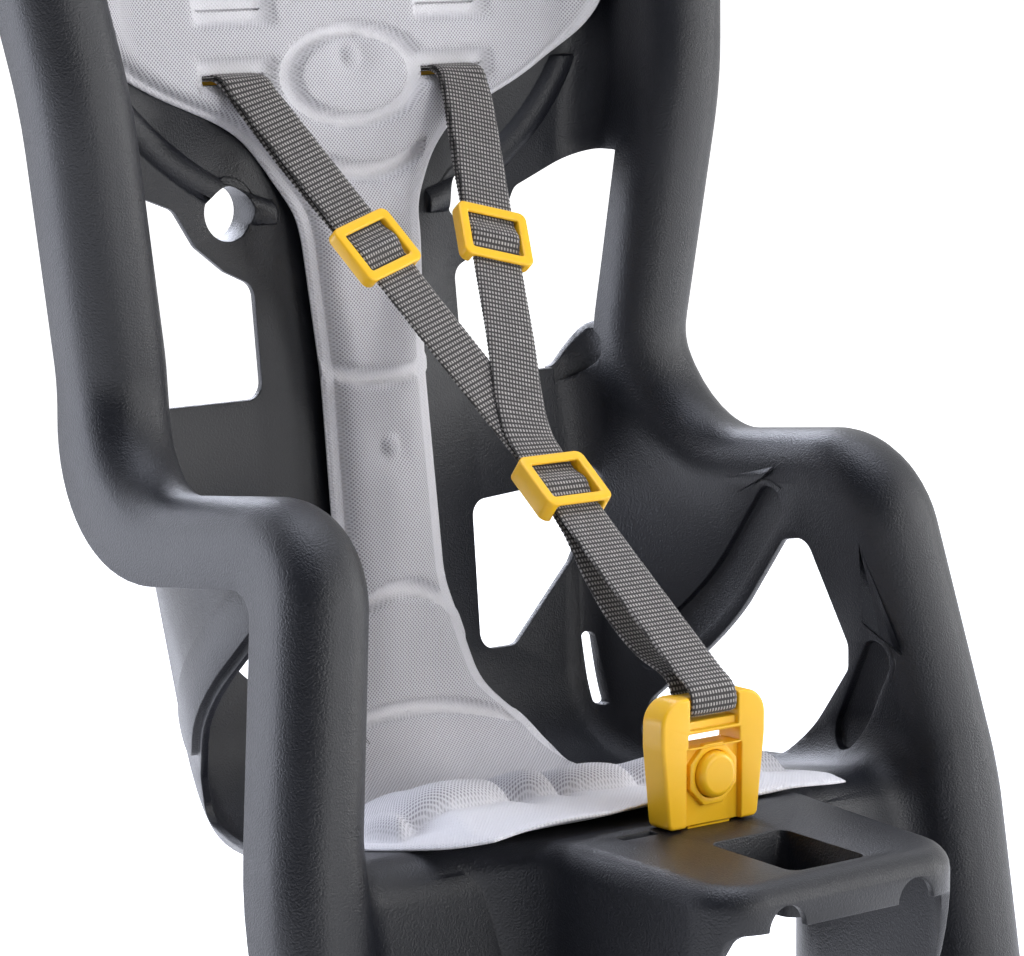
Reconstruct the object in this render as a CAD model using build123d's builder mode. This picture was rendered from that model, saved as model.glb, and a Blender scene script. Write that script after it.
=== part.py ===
import math
import os

from build123d import *

os.makedirs("parts", exist_ok=True)

# Child bike seat that clamps on a rear carrier: sizes in millimetres, +Z up, the seat faces -Y

# Shell
wall = 3.5
rim_width = 44.0
rim_round = 20.5
skirt_depth = 36.0
corner_round = 18.0
leg_half_width = 161.0
waist_half_width = 127.0
head_half_width = 172.0
waist_height = 250.0
shoulder_height = 535.0
head_crown = 562.0
leg_knee_height = 60.0
leg_bottom = -205.0
leg_slope = 0.187
crest_leg_y = -66.0
armrest_height = 225.0
armrest_drop = 18.0
wing_y = 88.0
wing_lean_height = 375.0
wing_lean = 0.193
back_foot_y = 101.0
recline = 0.133
hip_half_width = 112.0
hip_taper = 0.45
hip_lean = 0.18
hip_round = 90.0
pan_rear_height = 41.0
pan_front_height = 72.0
pan_front_y = -72.0
nose_front_y = -203.0
nose_half_width = 75.0
nose_height = 75.0
nose_lip = 22.0
nose_knee_y = -96.0
nose_round = 11.0

# Openings of the shell
upper_window_start = 116.0
lower_window_start = 100.0
boss_hole_x = 69.0
boss_hole_height = 320.0
boss_hole_radius = 12.5
boss_collar = 4.0
boss_collar_length = 10.0
strap_slot_x = 62.0
strap_slot_length = 36.0
strap_slot_height = 7.0
strap_row_low = 381.0
strap_row_high = 411.0
side_slot_x = 117.0
side_slot_height = 93.0
side_slot_width = 5.0
side_slot_length = 34.0
groove_width = 17.0
groove_depth = 4.0
notch_radius = 12.5
notch_x = 36.0
ridge_centre = 470.0
ridge_sweep = 160.0
ridge_top = 384.0
ridge_radius = 8.0
ridge_sink = 4.0

# Pad
pad_thickness = 7.0
pad_gap = 0.3
pad_neck = 34.0
pad_head = 153.0
pad_bend = 124.0
pad_wrap = 0.775
pad_bend_round = 24.0
pad_seat = 118.0
pad_front_y = -92.0

# Harness
web_width = 25.0
web_thickness = 1.6
web_gap = 0.4
join_y = 9.0
join_height = 226.0
glide_length = 30.0
glide_share = 0.47
glide_rail = 5.0
glide_thickness = 5.0

# Buckle
buckle_y = -110.0
buckle_width = 58.0
buckle_foot_width = 50.0
buckle_height = 56.0
buckle_thickness = 14.0
tongue_width = 24.0
tongue_thickness = 7.0
tongue_length = 14.0
tongue_clearance = 0.4
button_radius = 10.0
button_clearance = 0.3
button_dome = 3.0
button_travel = 2.5

# Footrests
foot_depth = 118.0
foot_plate = 4.0
foot_clearance = 1.2
foot_height = -186.0
foot_travel = 90.0
foot_neck = 12.0
foot_head = 26.0
foot_neck_height = 26.0
slide_clearance = 0.3

# Carrier clamp
rail_radius = 8.0
rail_spacing = 110.0
rail_clearance = 0.1
clamp_length = 160.0
clamp_depth = 90.0
base_height = 14.0
jaw_height = 12.0
jaw_gap = 3.0
jaw_travel = 9.0
bolt_radius = 4.0
knob_radius = 24.0
knob_height = 18.0
thread_clearance = 0.06
screw_radius = 3.0
screw_x = 36.0
screw_y = 30.0

far = 700.0


def back_line(height):
    return back_foot_y + recline * (height - pan_rear_height)


def pan_line(y):
    slope = (pan_rear_height - pan_front_height) / (back_foot_y - pan_front_y)
    return pan_front_height + (y - pan_front_y) * slope


def parallel(points, radii, distance):
    """Corner points and corner radii of the rounded line that runs beside the given one."""
    normals = []
    for first, second in zip(points, points[1:]):
        run = math.hypot(second[0] - first[0], second[1] - first[1])
        normals.append(((second[1] - first[1]) / run, (first[0] - second[0]) / run))
    ends = [
        (points[0][0] + distance * normals[0][0], points[0][1] + distance * normals[0][1]),
        (points[-1][0] + distance * normals[-1][0], points[-1][1] + distance * normals[-1][1]),
    ]
    corners = []
    rounds = []
    for corner, radius, before, after in zip(points[1:-1], radii, normals, normals[1:]):
        share = 1 + before[0] * after[0] + before[1] * after[1]
        corners.append(
            (
                corner[0] + distance * (before[0] + after[0]) / share,
                corner[1] + distance * (before[1] + after[1]) / share,
            )
        )
        turn = before[0] * after[1] - before[1] * after[0]
        rounds.append(radius + (distance if turn > 0 else -distance))
    return [ends[0]] + corners + [ends[1]], rounds


front_corners = [
    (leg_half_width, -320.0),
    (leg_half_width, leg_knee_height),
    (waist_half_width, waist_height),
    (head_half_width, shoulder_height),
    (0.0, head_crown),
    (-head_half_width, shoulder_height),
    (-waist_half_width, waist_height),
    (-leg_half_width, leg_knee_height),
    (-leg_half_width, -320.0),
]
front_rounds = [150.0, 110.0, 105.0, 300.0, 105.0, 110.0, 150.0]

crest_corners = [
    (crest_leg_y - leg_slope * (armrest_height + 320.0), -320.0),
    (crest_leg_y, armrest_height),
    (wing_y, armrest_height - armrest_drop),
    (wing_y - 5.0, wing_lean_height),
    (wing_y - 5.0 + wing_lean * (660.0 - wing_lean_height), 660.0),
]
crest_rounds = [50.0, 45.0, 200.0]

spine_corners = [
    (back_line(far), far),
    (back_foot_y, pan_rear_height),
    (pan_front_y, pan_front_height),
    (pan_front_y - leg_slope * (pan_front_height + 320.0), -320.0),
]
spine_rounds = [50.0, 22.0]


def front_outline(grow):
    """Front view of the seat's inner wall, grown outwards."""
    corners, rounds = parallel(front_corners, front_rounds, grow)
    with BuildSketch(Plane.XZ, mode=Mode.PRIVATE) as view:
        with BuildLine():
            line = FilletPolyline(*corners, radius=rounds)
            Line(line @ 1, line @ 0)
        make_face()
    return view.sketch


def crest_region(inset):
    """Side view of everything behind and below the rim's crest."""
    corners, rounds = parallel(crest_corners, crest_rounds, inset)
    with BuildSketch(Plane.YZ, mode=Mode.PRIVATE) as view:
        with BuildLine():
            line = FilletPolyline(*corners, radius=rounds)
            Polyline(line @ 1, (far, (line @ 1).Y), (far, (line @ 0).Y), line @ 0)
        make_face()
    return view.sketch


def air_region(grow):
    """Side view of the room in front of the back, above the pan and before the calves."""
    corners, rounds = parallel(spine_corners, spine_rounds, -grow)
    with BuildSketch(Plane.YZ, mode=Mode.PRIVATE) as view:
        with BuildLine():
            line = FilletPolyline(*corners, radius=rounds)
            Polyline(line @ 1, (-far, (line @ 1).Y), (-far, (line @ 0).Y), line @ 0)
        make_face()
    return view.sketch


def shared_edges(solid, front, side, low, front_limit):
    """Edges that lie on a front view's outline and on a side view's outline at once."""
    front_wire = front.face().outer_wire()
    side_wire = side.face().outer_wire()
    found = []
    for edge in solid.edges():
        middle = edge @ 0.5
        if middle.Z < low or middle.Y < front_limit or middle.Z > far - 20:
            continue
        on_front = front_wire.distance_to(Vertex(middle.X, 0, middle.Z)) < 0.01
        on_side = side_wire.distance_to(Vertex(0, middle.Y, middle.Z)) < 0.01
        if on_front and on_side:
            found.append(edge)
    return found


def side_walls(grow):
    """Solid between the side walls, which draw in from the legs towards the hips."""
    slant = math.sqrt(1 + hip_taper**2 + hip_lean**2)
    with BuildPart() as between:
        extrude(front_outline(grow), amount=300, both=True)
        for side in (-1, 1):
            hip_plane = Plane(
                origin=(side * (hip_half_width + grow * slant), back_foot_y, leg_knee_height),
                z_dir=(side, hip_taper, -hip_lean),
            )
            split(bisect_by=hip_plane, keep=Keep.BOTTOM)
            crease = []
            for face in between.faces():
                if face.geom_type == GeomType.PLANE and face.normal_at().dot(hip_plane.z_dir) > 0.9999:
                    crease = [
                        edge
                        for edge in face.edges()
                        if abs((edge @ 0.5).Y) < 299 and (edge @ 0.5).Z > -319
                    ]
            fillet(crease, radius=hip_round + grow)
    return between.part


def corner_edges(solid, side):
    """Edges where the side walls meet the back, the pan and the calf panels."""
    side_wire = side.face().outer_wire()
    found = []
    for edge in solid.edges():
        middle = edge @ 0.5
        if middle.Z < leg_bottom - 58 or (abs(middle.X) < 1 and middle.Z < waist_height):
            continue
        if side_wire.distance_to(Vertex(0, middle.Y, middle.Z)) < 0.01:
            found.append(edge)
    return found


def tub(grow, side_grow, radius):
    """The room the child sits in, with rounded corners, grown by a wall."""
    side = air_region(grow)
    with BuildPart() as room:
        add(side_walls(side_grow))
        extrude(side, amount=400, both=True, mode=Mode.INTERSECT)
        split(bisect_by=Plane.XY.offset(leg_bottom - 60), keep=Keep.TOP)
        fillet(corner_edges(room.part, side), radius=radius)
    return room.part


def rim_bead(grow, inset, radius, inner_grow, room):
    """Rolled bead along the rim, from a block cut by the room inside it."""
    front = front_outline(grow)
    inner = front_outline(inner_grow)
    side = crest_region(inset)
    with BuildPart() as bead:
        extrude(front, amount=650, both=True)
        if room is None:
            extrude(inner, amount=660, both=True, mode=Mode.SUBTRACT)
        extrude(side, amount=400, both=True, mode=Mode.INTERSECT)
        split(bisect_by=Plane.XY.offset(leg_bottom - 60), keep=Keep.TOP)
        fillet(shared_edges(bead.part, front, side, leg_bottom - 58, -200), radius=radius)
        if room is not None:
            add(room, mode=Mode.SUBTRACT)
        fillet(shared_edges(bead.part, inner, side, leg_bottom - 58, -200), radius=radius)
    return bead.part


def nose_block(inset, low):
    """Pommel that stands out between the legs, as a solid with a rounded top edge."""
    half = nose_half_width - inset
    front = nose_front_y + inset
    with BuildPart() as block:
        with BuildSketch():
            with BuildLine():
                edge = FilletPolyline(
                    (-half - 46, pan_front_y + 4 + inset),
                    (-half - 2, pan_front_y + 4 + inset),
                    (-half + 6, front),
                    (half - 6, front),
                    (half + 2, pan_front_y + 4 + inset),
                    (half + 46, pan_front_y + 4 + inset),
                    radius=[42 + inset, 26 - inset, 26 - inset, 42 + inset],
                )
                Polyline(edge @ 1, (half + 46, 0), (-half - 46, 0), edge @ 0)
            make_face()
        extrude(amount=500, both=True)
        with BuildSketch(Plane.YZ):
            with BuildLine():
                top = FilletPolyline(
                    (10, pan_line(10) - 1 - inset),
                    (nose_knee_y, nose_height - inset),
                    (nose_front_y - 60, nose_height - 5 - inset),
                    radius=40,
                )
                Polyline(top @ 1, (nose_front_y - 60, low), (10, low), top @ 0)
            make_face()
        extrude(amount=400, both=True, mode=Mode.INTERSECT)
        brow = [
            edge
            for edge in block.edges()
            if (edge @ 0.5).Z > nose_height - 14 and (edge @ 0.5).Y < pan_front_y - 8
            and not (abs((edge % 0.5).X) > 0.99 and (edge @ 0.5).Y > nose_front_y + inset + 1)
        ]
        fillet(brow, radius=nose_round - inset)
    return block.part


def window(points, radius, plane, reach):
    """Opening with rounded corners that runs straight through."""
    with BuildPart() as hole:
        with BuildSketch(plane):
            with BuildLine():
                FilletPolyline(*points, radius=radius, close=True)
            make_face()
        extrude(amount=reach)
    return hole.part


# Moulded shell: tub, rolled rim with its skirt, pommel and leg guards in one piece
room = tub(0, 0, corner_round)
room_outside = tub(wall, wall + 0.4, corner_round + wall)
rim_solid = rim_bead(rim_width, 0, rim_round, 0, room)
rim_hollow = rim_bead(rim_width - wall, wall, rim_round - wall, wall, None)

with BuildPart() as kept:
    extrude(crest_region(0), amount=400, both=True)
    extrude(crest_region(skirt_depth), amount=400, both=True, mode=Mode.SUBTRACT)
    extrude(front_outline(wall + 0.2), amount=900, both=True, mode=Mode.SUBTRACT)
    add(room_outside)

with BuildPart() as nose:
    add(nose_block(0, leg_bottom - 50))
    add(room_outside, mode=Mode.INTERSECT)


def calf_line(height):
    return pan_front_y - leg_slope * (pan_front_height - height)


def groove_prisms(width):
    """Rounded slots of the side walls' grooves, drawn from the side and run through the right wall."""
    with BuildPart() as prisms:
        with BuildSketch(Plane.YZ.offset(waist_half_width - 14)):
            for start, end in groove_lines:
                run = math.hypot(end[0] - start[0], end[1] - start[1])
                turn = math.degrees(math.atan2(end[1] - start[1], end[0] - start[0]))
                with Locations(((start[0] + end[0]) / 2, (start[1] + end[1]) / 2)):
                    SlotCenterToCenter(run, width, rotation=turn)
        extrude(amount=leg_half_width + 24 - waist_half_width)
        mirror(about=Plane.YZ)
    return prisms.part


groove_lines = [
    ((119.0, 246.0), (140.0, 230.0)),
    ((2.0, 183.0), (74.0, 103.0)),
    ((-58.0, 118.0), (-34.0, 80.0)),
]

upper_window = [
    (58, 236),
    (58, 287),
    (73, 294),
    (88, 306),
    (98, 323),
    (152, 344),
    (150, 318),
    (137, 264),
    (116, 236),
]
lower_window = [(55, 108), (57, 178), (99, 181), (132, 196), (127, 168), (113, 143), (76, 108)]
side_window = [(-20, 170), (-4, 167), (73, 81), (77, 59), (3, 63), (-38, 110), (-40, 122)]

foot_axis = Vector(0, leg_slope, 1).normalized()
foot_x = (nose_half_width + leg_half_width) / 2 - 4
leg_planes = [
    Plane(origin=(side * foot_x, calf_line(foot_height), foot_height), x_dir=(1, 0, 0), z_dir=foot_axis)
    for side in (-1, 1)
]
base_top = jaw_gap / 2 + base_height
pedestal_low = base_top + 0.3

with BuildPart() as seat_shell:
    add(rim_solid)
    add(rim_hollow, mode=Mode.SUBTRACT)
    add(kept.part, mode=Mode.INTERSECT)
    add(nose.part)

    # Stiffening grooves pressed out of the side walls
    with BuildPart(mode=Mode.PRIVATE) as swell:
        add(groove_prisms(groove_width + 2 * wall))
        swell_depth = groove_depth + wall
        add(tub(swell_depth, swell_depth, corner_round + swell_depth), mode=Mode.INTERSECT)
        add(room, mode=Mode.SUBTRACT)
    add(swell.part)
    with BuildPart(mode=Mode.PRIVATE) as press:
        add(groove_prisms(groove_width))
        add(tub(groove_depth, groove_depth, corner_round + groove_depth), mode=Mode.INTERSECT)
    add(press.part, mode=Mode.SUBTRACT)

    # Curved ridges of the back beside the head of the pad
    ridge_plane = Plane(
        origin=(0, back_line(ridge_centre), ridge_centre),
        x_dir=(1, 0, 0),
        z_dir=(0, -1, recline),
    )
    with BuildPart(mode=Mode.PRIVATE) as ridge:
        with Locations(ridge_plane.offset(-ridge_sink)):
            Torus(ridge_sweep, ridge_radius)
        with Locations((44, 150, ridge_top)):
            Box(98, 200, 70, align=(Align.MIN, Align.CENTER, Align.MAX), mode=Mode.INTERSECT)
        mirror(about=Plane.YZ)
        extrude(air_region(1), amount=400, both=True, mode=Mode.INTERSECT)
    add(ridge.part)

    # Foot that carries the clamp, moulded under the pan
    with BuildPart(mode=Mode.PRIVATE) as pedestal:
        with BuildSketch(Plane.XY.offset(pedestal_low)):
            RectangleRounded(2 * screw_x + 26, 2 * screw_y + 26, 10)
            RectangleRounded(2 * screw_x + 19, 2 * screw_y + 19, 7, mode=Mode.SUBTRACT)
            with GridLocations(2 * screw_x, 2 * screw_y, 2, 2):
                Circle(8)
            Rectangle(2 * screw_x + 22, 3)
            Rectangle(3, 2 * screw_y + 22)
        extrude(amount=70)
        add(room, mode=Mode.SUBTRACT)
    add(pedestal.part)
    with GridLocations(2 * screw_x, 2 * screw_y, 2, 2):
        with Locations((0, 0, pedestal_low)):
            Cylinder(
                screw_radius,
                22,
                align=(Align.CENTER, Align.CENTER, Align.MIN),
                mode=Mode.SUBTRACT,
            )

    # Hollow of the pommel and the arch between the legs
    add(nose_block(wall, leg_bottom - 90), mode=Mode.SUBTRACT)
    with BuildSketch(Plane.YZ):
        with BuildLine():
            arch = FilletPolyline(
                (-320, nose_height - nose_lip),
                (nose_front_y + 7, nose_height - nose_lip),
                (nose_front_y + 18, nose_height - 52),
                (calf_line(-110) - 26, -110),
                (calf_line(leg_bottom) - 14, leg_bottom - 2),
                (calf_line(leg_bottom) - 14, leg_bottom - 100),
                radius=[6, 30, 60, 20],
            )
            Polyline(arch @ 1, (-320, leg_bottom - 100), arch @ 0)
        make_face()
    extrude(amount=100, both=True, mode=Mode.SUBTRACT)

    # Rounded lower ends of the leg guards
    with BuildSketch(Plane.XZ):
        with BuildLine():
            foot = FilletPolyline(
                (-300, 680),
                (-300, -100),
                (-leg_half_width - rim_width, -100),
                (-leg_half_width - rim_width, leg_bottom),
                (leg_half_width + rim_width, leg_bottom),
                (leg_half_width + rim_width, -100),
                (300, -100),
                (300, 680),
                radius=[0, 0, 40, 40, 0, 0],
            )
            Line(foot @ 1, foot @ 0)
        make_face()
    extrude(amount=700, both=True, mode=Mode.INTERSECT)

    # Collars of the round holes behind the back
    for side in (-1, 1):
        with BuildSketch(Plane.XZ.offset(-back_line(boss_hole_height) - wall - boss_collar_length)):
            with Locations((side * boss_hole_x, boss_hole_height)):
                Circle(boss_hole_radius + boss_collar)
        extrude(amount=boss_collar_length + wall - 1)
    # Windows and slots through the back
    for points, start in ((upper_window, upper_window_start), (lower_window, lower_window_start)):
        hole = window(points, 8, Plane.XZ.offset(-start), -100)
        add(hole, mode=Mode.SUBTRACT)
        add(mirror(hole, about=Plane.YZ, mode=Mode.PRIVATE), mode=Mode.SUBTRACT)
    for side in (-1, 1):
        with BuildSketch(Plane.XZ.offset(-60)):
            with Locations((side * boss_hole_x, boss_hole_height)):
                Circle(boss_hole_radius)
            with Locations((side * strap_slot_x, strap_row_low), (side * strap_slot_x, strap_row_high)):
                RectangleRounded(strap_slot_length, strap_slot_height, 2)
            with Locations((side * side_slot_x, side_slot_height)):
                RectangleRounded(side_slot_width, side_slot_length, side_slot_width / 2 - 0.1)
        extrude(amount=-160, mode=Mode.SUBTRACT)
    # Side windows
    side_reach = leg_half_width + 18 - waist_half_width
    hole = window(side_window, 8, Plane.YZ.offset(waist_half_width - 10), side_reach)
    add(hole, mode=Mode.SUBTRACT)
    add(mirror(hole, about=Plane.YZ, mode=Mode.PRIVATE), mode=Mode.SUBTRACT)

    # Finger pocket, strap bar, buckle slot and bar notches of the pommel
    with BuildSketch(Plane.XY.offset(nose_height - 22)):
        with Locations((0, buckle_y - 53)):
            RectangleRounded(42 + 2 * wall, 52 + 2 * wall, 8)
    extrude(amount=18.3)
    with BuildSketch(Plane.XY.offset(nose_height - 22 + wall)):
        with Locations((0, buckle_y - 53)):
            RectangleRounded(42, 52, 5)
    extrude(amount=40, mode=Mode.SUBTRACT)
    with BuildSketch(Plane.XY.offset(nose_height - 22 + 1)):
        with Locations((0, buckle_y - 74)):
            Rectangle(38, 9)
            Rectangle(30, 3, mode=Mode.SUBTRACT)
    extrude(amount=10)
    with Locations((0, buckle_y, nose_height - 13)):
        Box(tongue_width + 8, tongue_thickness + 8, 22, mode=Mode.ADD)
    with Locations((0, buckle_y, nose_height - 10)):
        Box(
            tongue_width + 2 * tongue_clearance,
            tongue_thickness + 2 * tongue_clearance,
            60,
            mode=Mode.SUBTRACT,
        )
    with Locations((-37, buckle_y, nose_height)):
        Box(19, 6, 24, mode=Mode.SUBTRACT)
    with BuildSketch(Plane.XZ.offset(-nose_front_y - 12)):
        with Locations((-notch_x, nose_height - nose_lip), (notch_x, nose_height - nose_lip)):
            Circle(notch_radius - 2.5)
    extrude(amount=30, mode=Mode.SUBTRACT)

    # Slots that guide the footrests
    for plane in leg_planes:
        with BuildSketch(plane.offset(foot_neck_height / 2 - 6)):
            with Locations((0, 2)):
                Rectangle(foot_neck + 2 * slide_clearance, 14)
        extrude(amount=foot_neck_height + foot_travel + 2 + 1, mode=Mode.SUBTRACT)

seat_shell.part.label = "seat_shell"
export_step(seat_shell.part, "parts/seat_shell.step")


# Padded cover that lies on the back and the pan
def pad_region(lift):
    corners = [
        (back_line(far), far),
        (back_foot_y, pan_rear_height),
        (pad_front_y - 40, pan_line(pad_front_y - 40)),
    ]
    moved, rounds = parallel(corners, [spine_rounds[0]], lift)
    with BuildSketch(Plane.YZ, mode=Mode.PRIVATE) as view:
        with BuildLine():
            line = FilletPolyline(*moved, radius=rounds)
            Polyline(line @ 1, (-far, (line @ 1).Y), (-far, (line @ 0).Y), line @ 0)
        make_face()
    return view.sketch


pad_back_half = [
    (70.0, 40.0),
    (62.0, 88.0),
    (pad_neck, 140.0),
    (pad_neck, 322.0),
    (58.0, 358.0),
    (58.0, 470.0),
]
pad_head_half = [
    (40.0, 346.0),
    (58.0, 358.0),
    (108.0, 374.0),
    (140.0, 396.0),
    (pad_head - 5, 411.0),
    (pad_head, 440.0),
    (pad_head - 8, 474.0),
    (100.0, 522.0),
]
sheet_plane = Plane(
    origin=(0, back_line(waist_height), waist_height),
    x_dir=(1, 0, 0),
    z_dir=(0, recline, 1),
)
sheet_corners = [
    (-pad_head - 10, -pad_gap - pad_wrap * (pad_head + 10 - pad_bend)),
    (-pad_bend, -pad_gap),
    (pad_bend, -pad_gap),
    (pad_head + 10, -pad_gap - pad_wrap * (pad_head + 10 - pad_bend)),
]
pad_seat_half = [(56.0, 110.0), (82.0, 62.0), (110.0, 26.0), (pad_seat, -20.0), (pad_seat - 2, -140.0)]


def both_sides(half):
    return half + [(-x, y) for x, y in reversed(half)]


with BuildPart() as seat_pad:
    with BuildSketch(Plane.XZ):
        with BuildLine():
            FilletPolyline(*both_sides(pad_back_half), radius=14, close=True)
        make_face()
    extrude(amount=300, both=True)
    with BuildPart(mode=Mode.PRIVATE) as cushion:
        with BuildSketch():
            with BuildLine():
                FilletPolyline(*both_sides(pad_seat_half), radius=12, close=True)
            make_face()
        extrude(amount=90)
    add(cushion.part)
    extrude(pad_region(pad_gap), amount=300, both=True, mode=Mode.INTERSECT)
    extrude(pad_region(pad_gap + pad_thickness), amount=300, both=True, mode=Mode.SUBTRACT)
    with BuildPart(mode=Mode.PRIVATE) as headrest:
        with BuildSketch(Plane.XZ):
            with BuildLine():
                FilletPolyline(*both_sides(pad_head_half), radius=14, close=True)
            make_face()
        extrude(amount=300, both=True)
        with BuildPart(mode=Mode.PRIVATE) as sheet:
            with BuildSketch(sheet_plane):
                with BuildLine():
                    rear = FilletPolyline(*sheet_corners, radius=pad_bend_round)
                    corners, rounds = parallel(sheet_corners, [pad_bend_round] * 2, pad_thickness)
                    front = FilletPolyline(*corners, radius=rounds)
                    Line(rear @ 0, front @ 0)
                    Line(rear @ 1, front @ 1)
                make_face()
            extrude(amount=head_crown - waist_height)
        add(sheet.part, mode=Mode.INTERSECT)
    add(headrest.part)
    with BuildSketch(Plane.XZ):
        for row in (strap_row_low, strap_row_high):
            with Locations((-strap_slot_x, row), (strap_slot_x, row)):
                RectangleRounded(strap_slot_length, strap_slot_height, 2)
    extrude(amount=-300, mode=Mode.SUBTRACT)
    with BuildSketch(Plane.YZ):
        with Locations((pad_front_y - 250, 0)):
            Rectangle(500, 400)
    extrude(amount=300, both=True, mode=Mode.SUBTRACT)
seat_pad.part.label = "seat_pad"
export_step(seat_pad.part, "parts/seat_pad.step")

# Harness webbing: one strap from the left slot, through the buckle, to the right slot
slot_y = back_line(strap_row_low)
layer = (web_thickness + web_gap) / 2
bar_top = nose_height + buckle_height
bar_low = bar_top - 5.5
join = Vector(0, join_y, join_height)
run_down = (Vector(0, buckle_y, bar_top + 4) - join).normalized()
lift_dir = Vector(0, run_down.Z, -run_down.Y)


def strap_start(side):
    return Vector(side * strap_slot_x, slot_y - pad_thickness - 8, strap_row_low - 3)


def strap_path(side):
    """Centre points of one half of the strap, from behind the back to the buckle's bar."""
    join_layer = join + lift_dir * (layer * side)
    slack = join_layer - strap_start(side)
    points = [
        Vector(side * strap_slot_x, slot_y + wall + 22, strap_row_low),
        Vector(side * strap_slot_x, slot_y + wall + 13, strap_row_low),
        Vector(side * strap_slot_x, slot_y + wall + 12.5, strap_row_low),
        Vector(side * strap_slot_x, slot_y - pad_thickness - 4, strap_row_low),
        strap_start(side) + slack * 0.02,
        strap_start(side) + slack * 0.96,
        join_layer + run_down * 9,
    ]
    return points


front_layer = lift_dir * layer
buckle_loop = [
    Vector(0, buckle_y + 6, bar_top + 9) + front_layer,
    Vector(0, buckle_y - 4, bar_top + 3.2),
    Vector(0, buckle_y - 6.2, bar_top - 1.5),
    Vector(0, buckle_y - 5.6, bar_low - 1.4),
    Vector(0, buckle_y - 3, bar_low - 2.6),
    Vector(0, buckle_y + 3, bar_low - 2.6),
    Vector(0, buckle_y + 5.6, bar_low - 1.4),
    Vector(0, buckle_y + 6.4, bar_top - 1.5),
    Vector(0, buckle_y + 10, bar_top + 6.4) - front_layer,
]
strap_points = strap_path(1) + buckle_loop + list(reversed(strap_path(-1)))


with BuildPart() as harness_strap:
    for index, point in enumerate(strap_points):
        before = strap_points[max(index - 1, 0)]
        after = strap_points[min(index + 1, len(strap_points) - 1)]
        forward = (point - before).normalized() if index else Vector()
        onward = (after - point).normalized() if index < len(strap_points) - 1 else Vector()
        heading = (forward + onward).normalized()
        half_turn = max(abs(heading.dot(onward if onward.length else forward)), 0.4)
        thick = 5.0 if index in (0, 1, len(strap_points) - 2, len(strap_points) - 1) else web_thickness
        across = Vector(1, 0, 0) - heading * heading.X
        with BuildSketch(Plane(origin=point, x_dir=across, z_dir=heading)):
            Rectangle(web_width, thick / half_turn)
    loft(ruled=True)
harness_strap.part.label = "harness_strap"
export_step(harness_strap.part, "parts/harness_strap.step")


def glide(centre, heading, stack):
    """Three-bar slide that the webbing threads through."""
    across = Vector(1, 0, 0) - heading * heading.X
    across = across.normalized()
    facing = heading.cross(across)
    if facing.Z < 0:
        facing = facing * -1
    plane = Plane(origin=centre, x_dir=across, z_dir=facing)
    clear = stack / 2 + 0.5
    half = web_width / 2 + 0.6
    bar = glide_thickness / 2 + stack / 2
    with BuildPart() as frame:
        with BuildSketch(plane.offset(-bar)):
            RectangleRounded(2 * (half + glide_rail), glide_length, 4)
            Rectangle(2 * half, glide_length - 2 * glide_rail, mode=Mode.SUBTRACT)
        extrude(amount=2 * bar)
        with BuildSketch(plane.offset(-bar - 1)):
            Rectangle(2 * half, glide_length + 2)
        extrude(amount=bar + 1 + clear, mode=Mode.SUBTRACT)
        with BuildSketch(plane.offset(-bar)):
            Rectangle(2 * half + 2, glide_rail)
        extrude(amount=bar - clear)
    return frame.part


def run_point(side, share):
    path = strap_path(side)
    return path[4] + (path[5] - path[4]) * share, (path[5] - path[4]).normalized()


with BuildPart() as glide_left:
    add(glide(*run_point(-1, glide_share), web_thickness))
glide_left.part.label = "glide_left"
export_step(glide_left.part, "parts/glide_left.step")

with BuildPart() as glide_right:
    add(glide(*run_point(1, glide_share), web_thickness))
glide_right.part.label = "glide_right"
export_step(glide_right.part, "parts/glide_right.step")

with BuildPart() as glide_join:
    add(glide(join + run_down * 30, run_down, 2 * web_thickness + web_gap + 2.4))
glide_join.part.label = "glide_join"
export_step(glide_join.part, "parts/glide_join.step")

for side, name in ((-1, "left"), (1, "right")):
    with BuildPart() as keeper:
        with BuildSketch(Plane.XZ.offset(-slot_y - wall - 10.5)):
            with Locations((side * strap_slot_x, strap_row_low)):
                RectangleRounded(strap_slot_length + 12, 18, 4)
                Rectangle(web_width + 1.2, web_thickness + 0.8, mode=Mode.SUBTRACT)
        extrude(amount=5)
    keeper.part.label = "keeper_" + name
    export_step(keeper.part, "parts/keeper_" + name + ".step")

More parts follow.
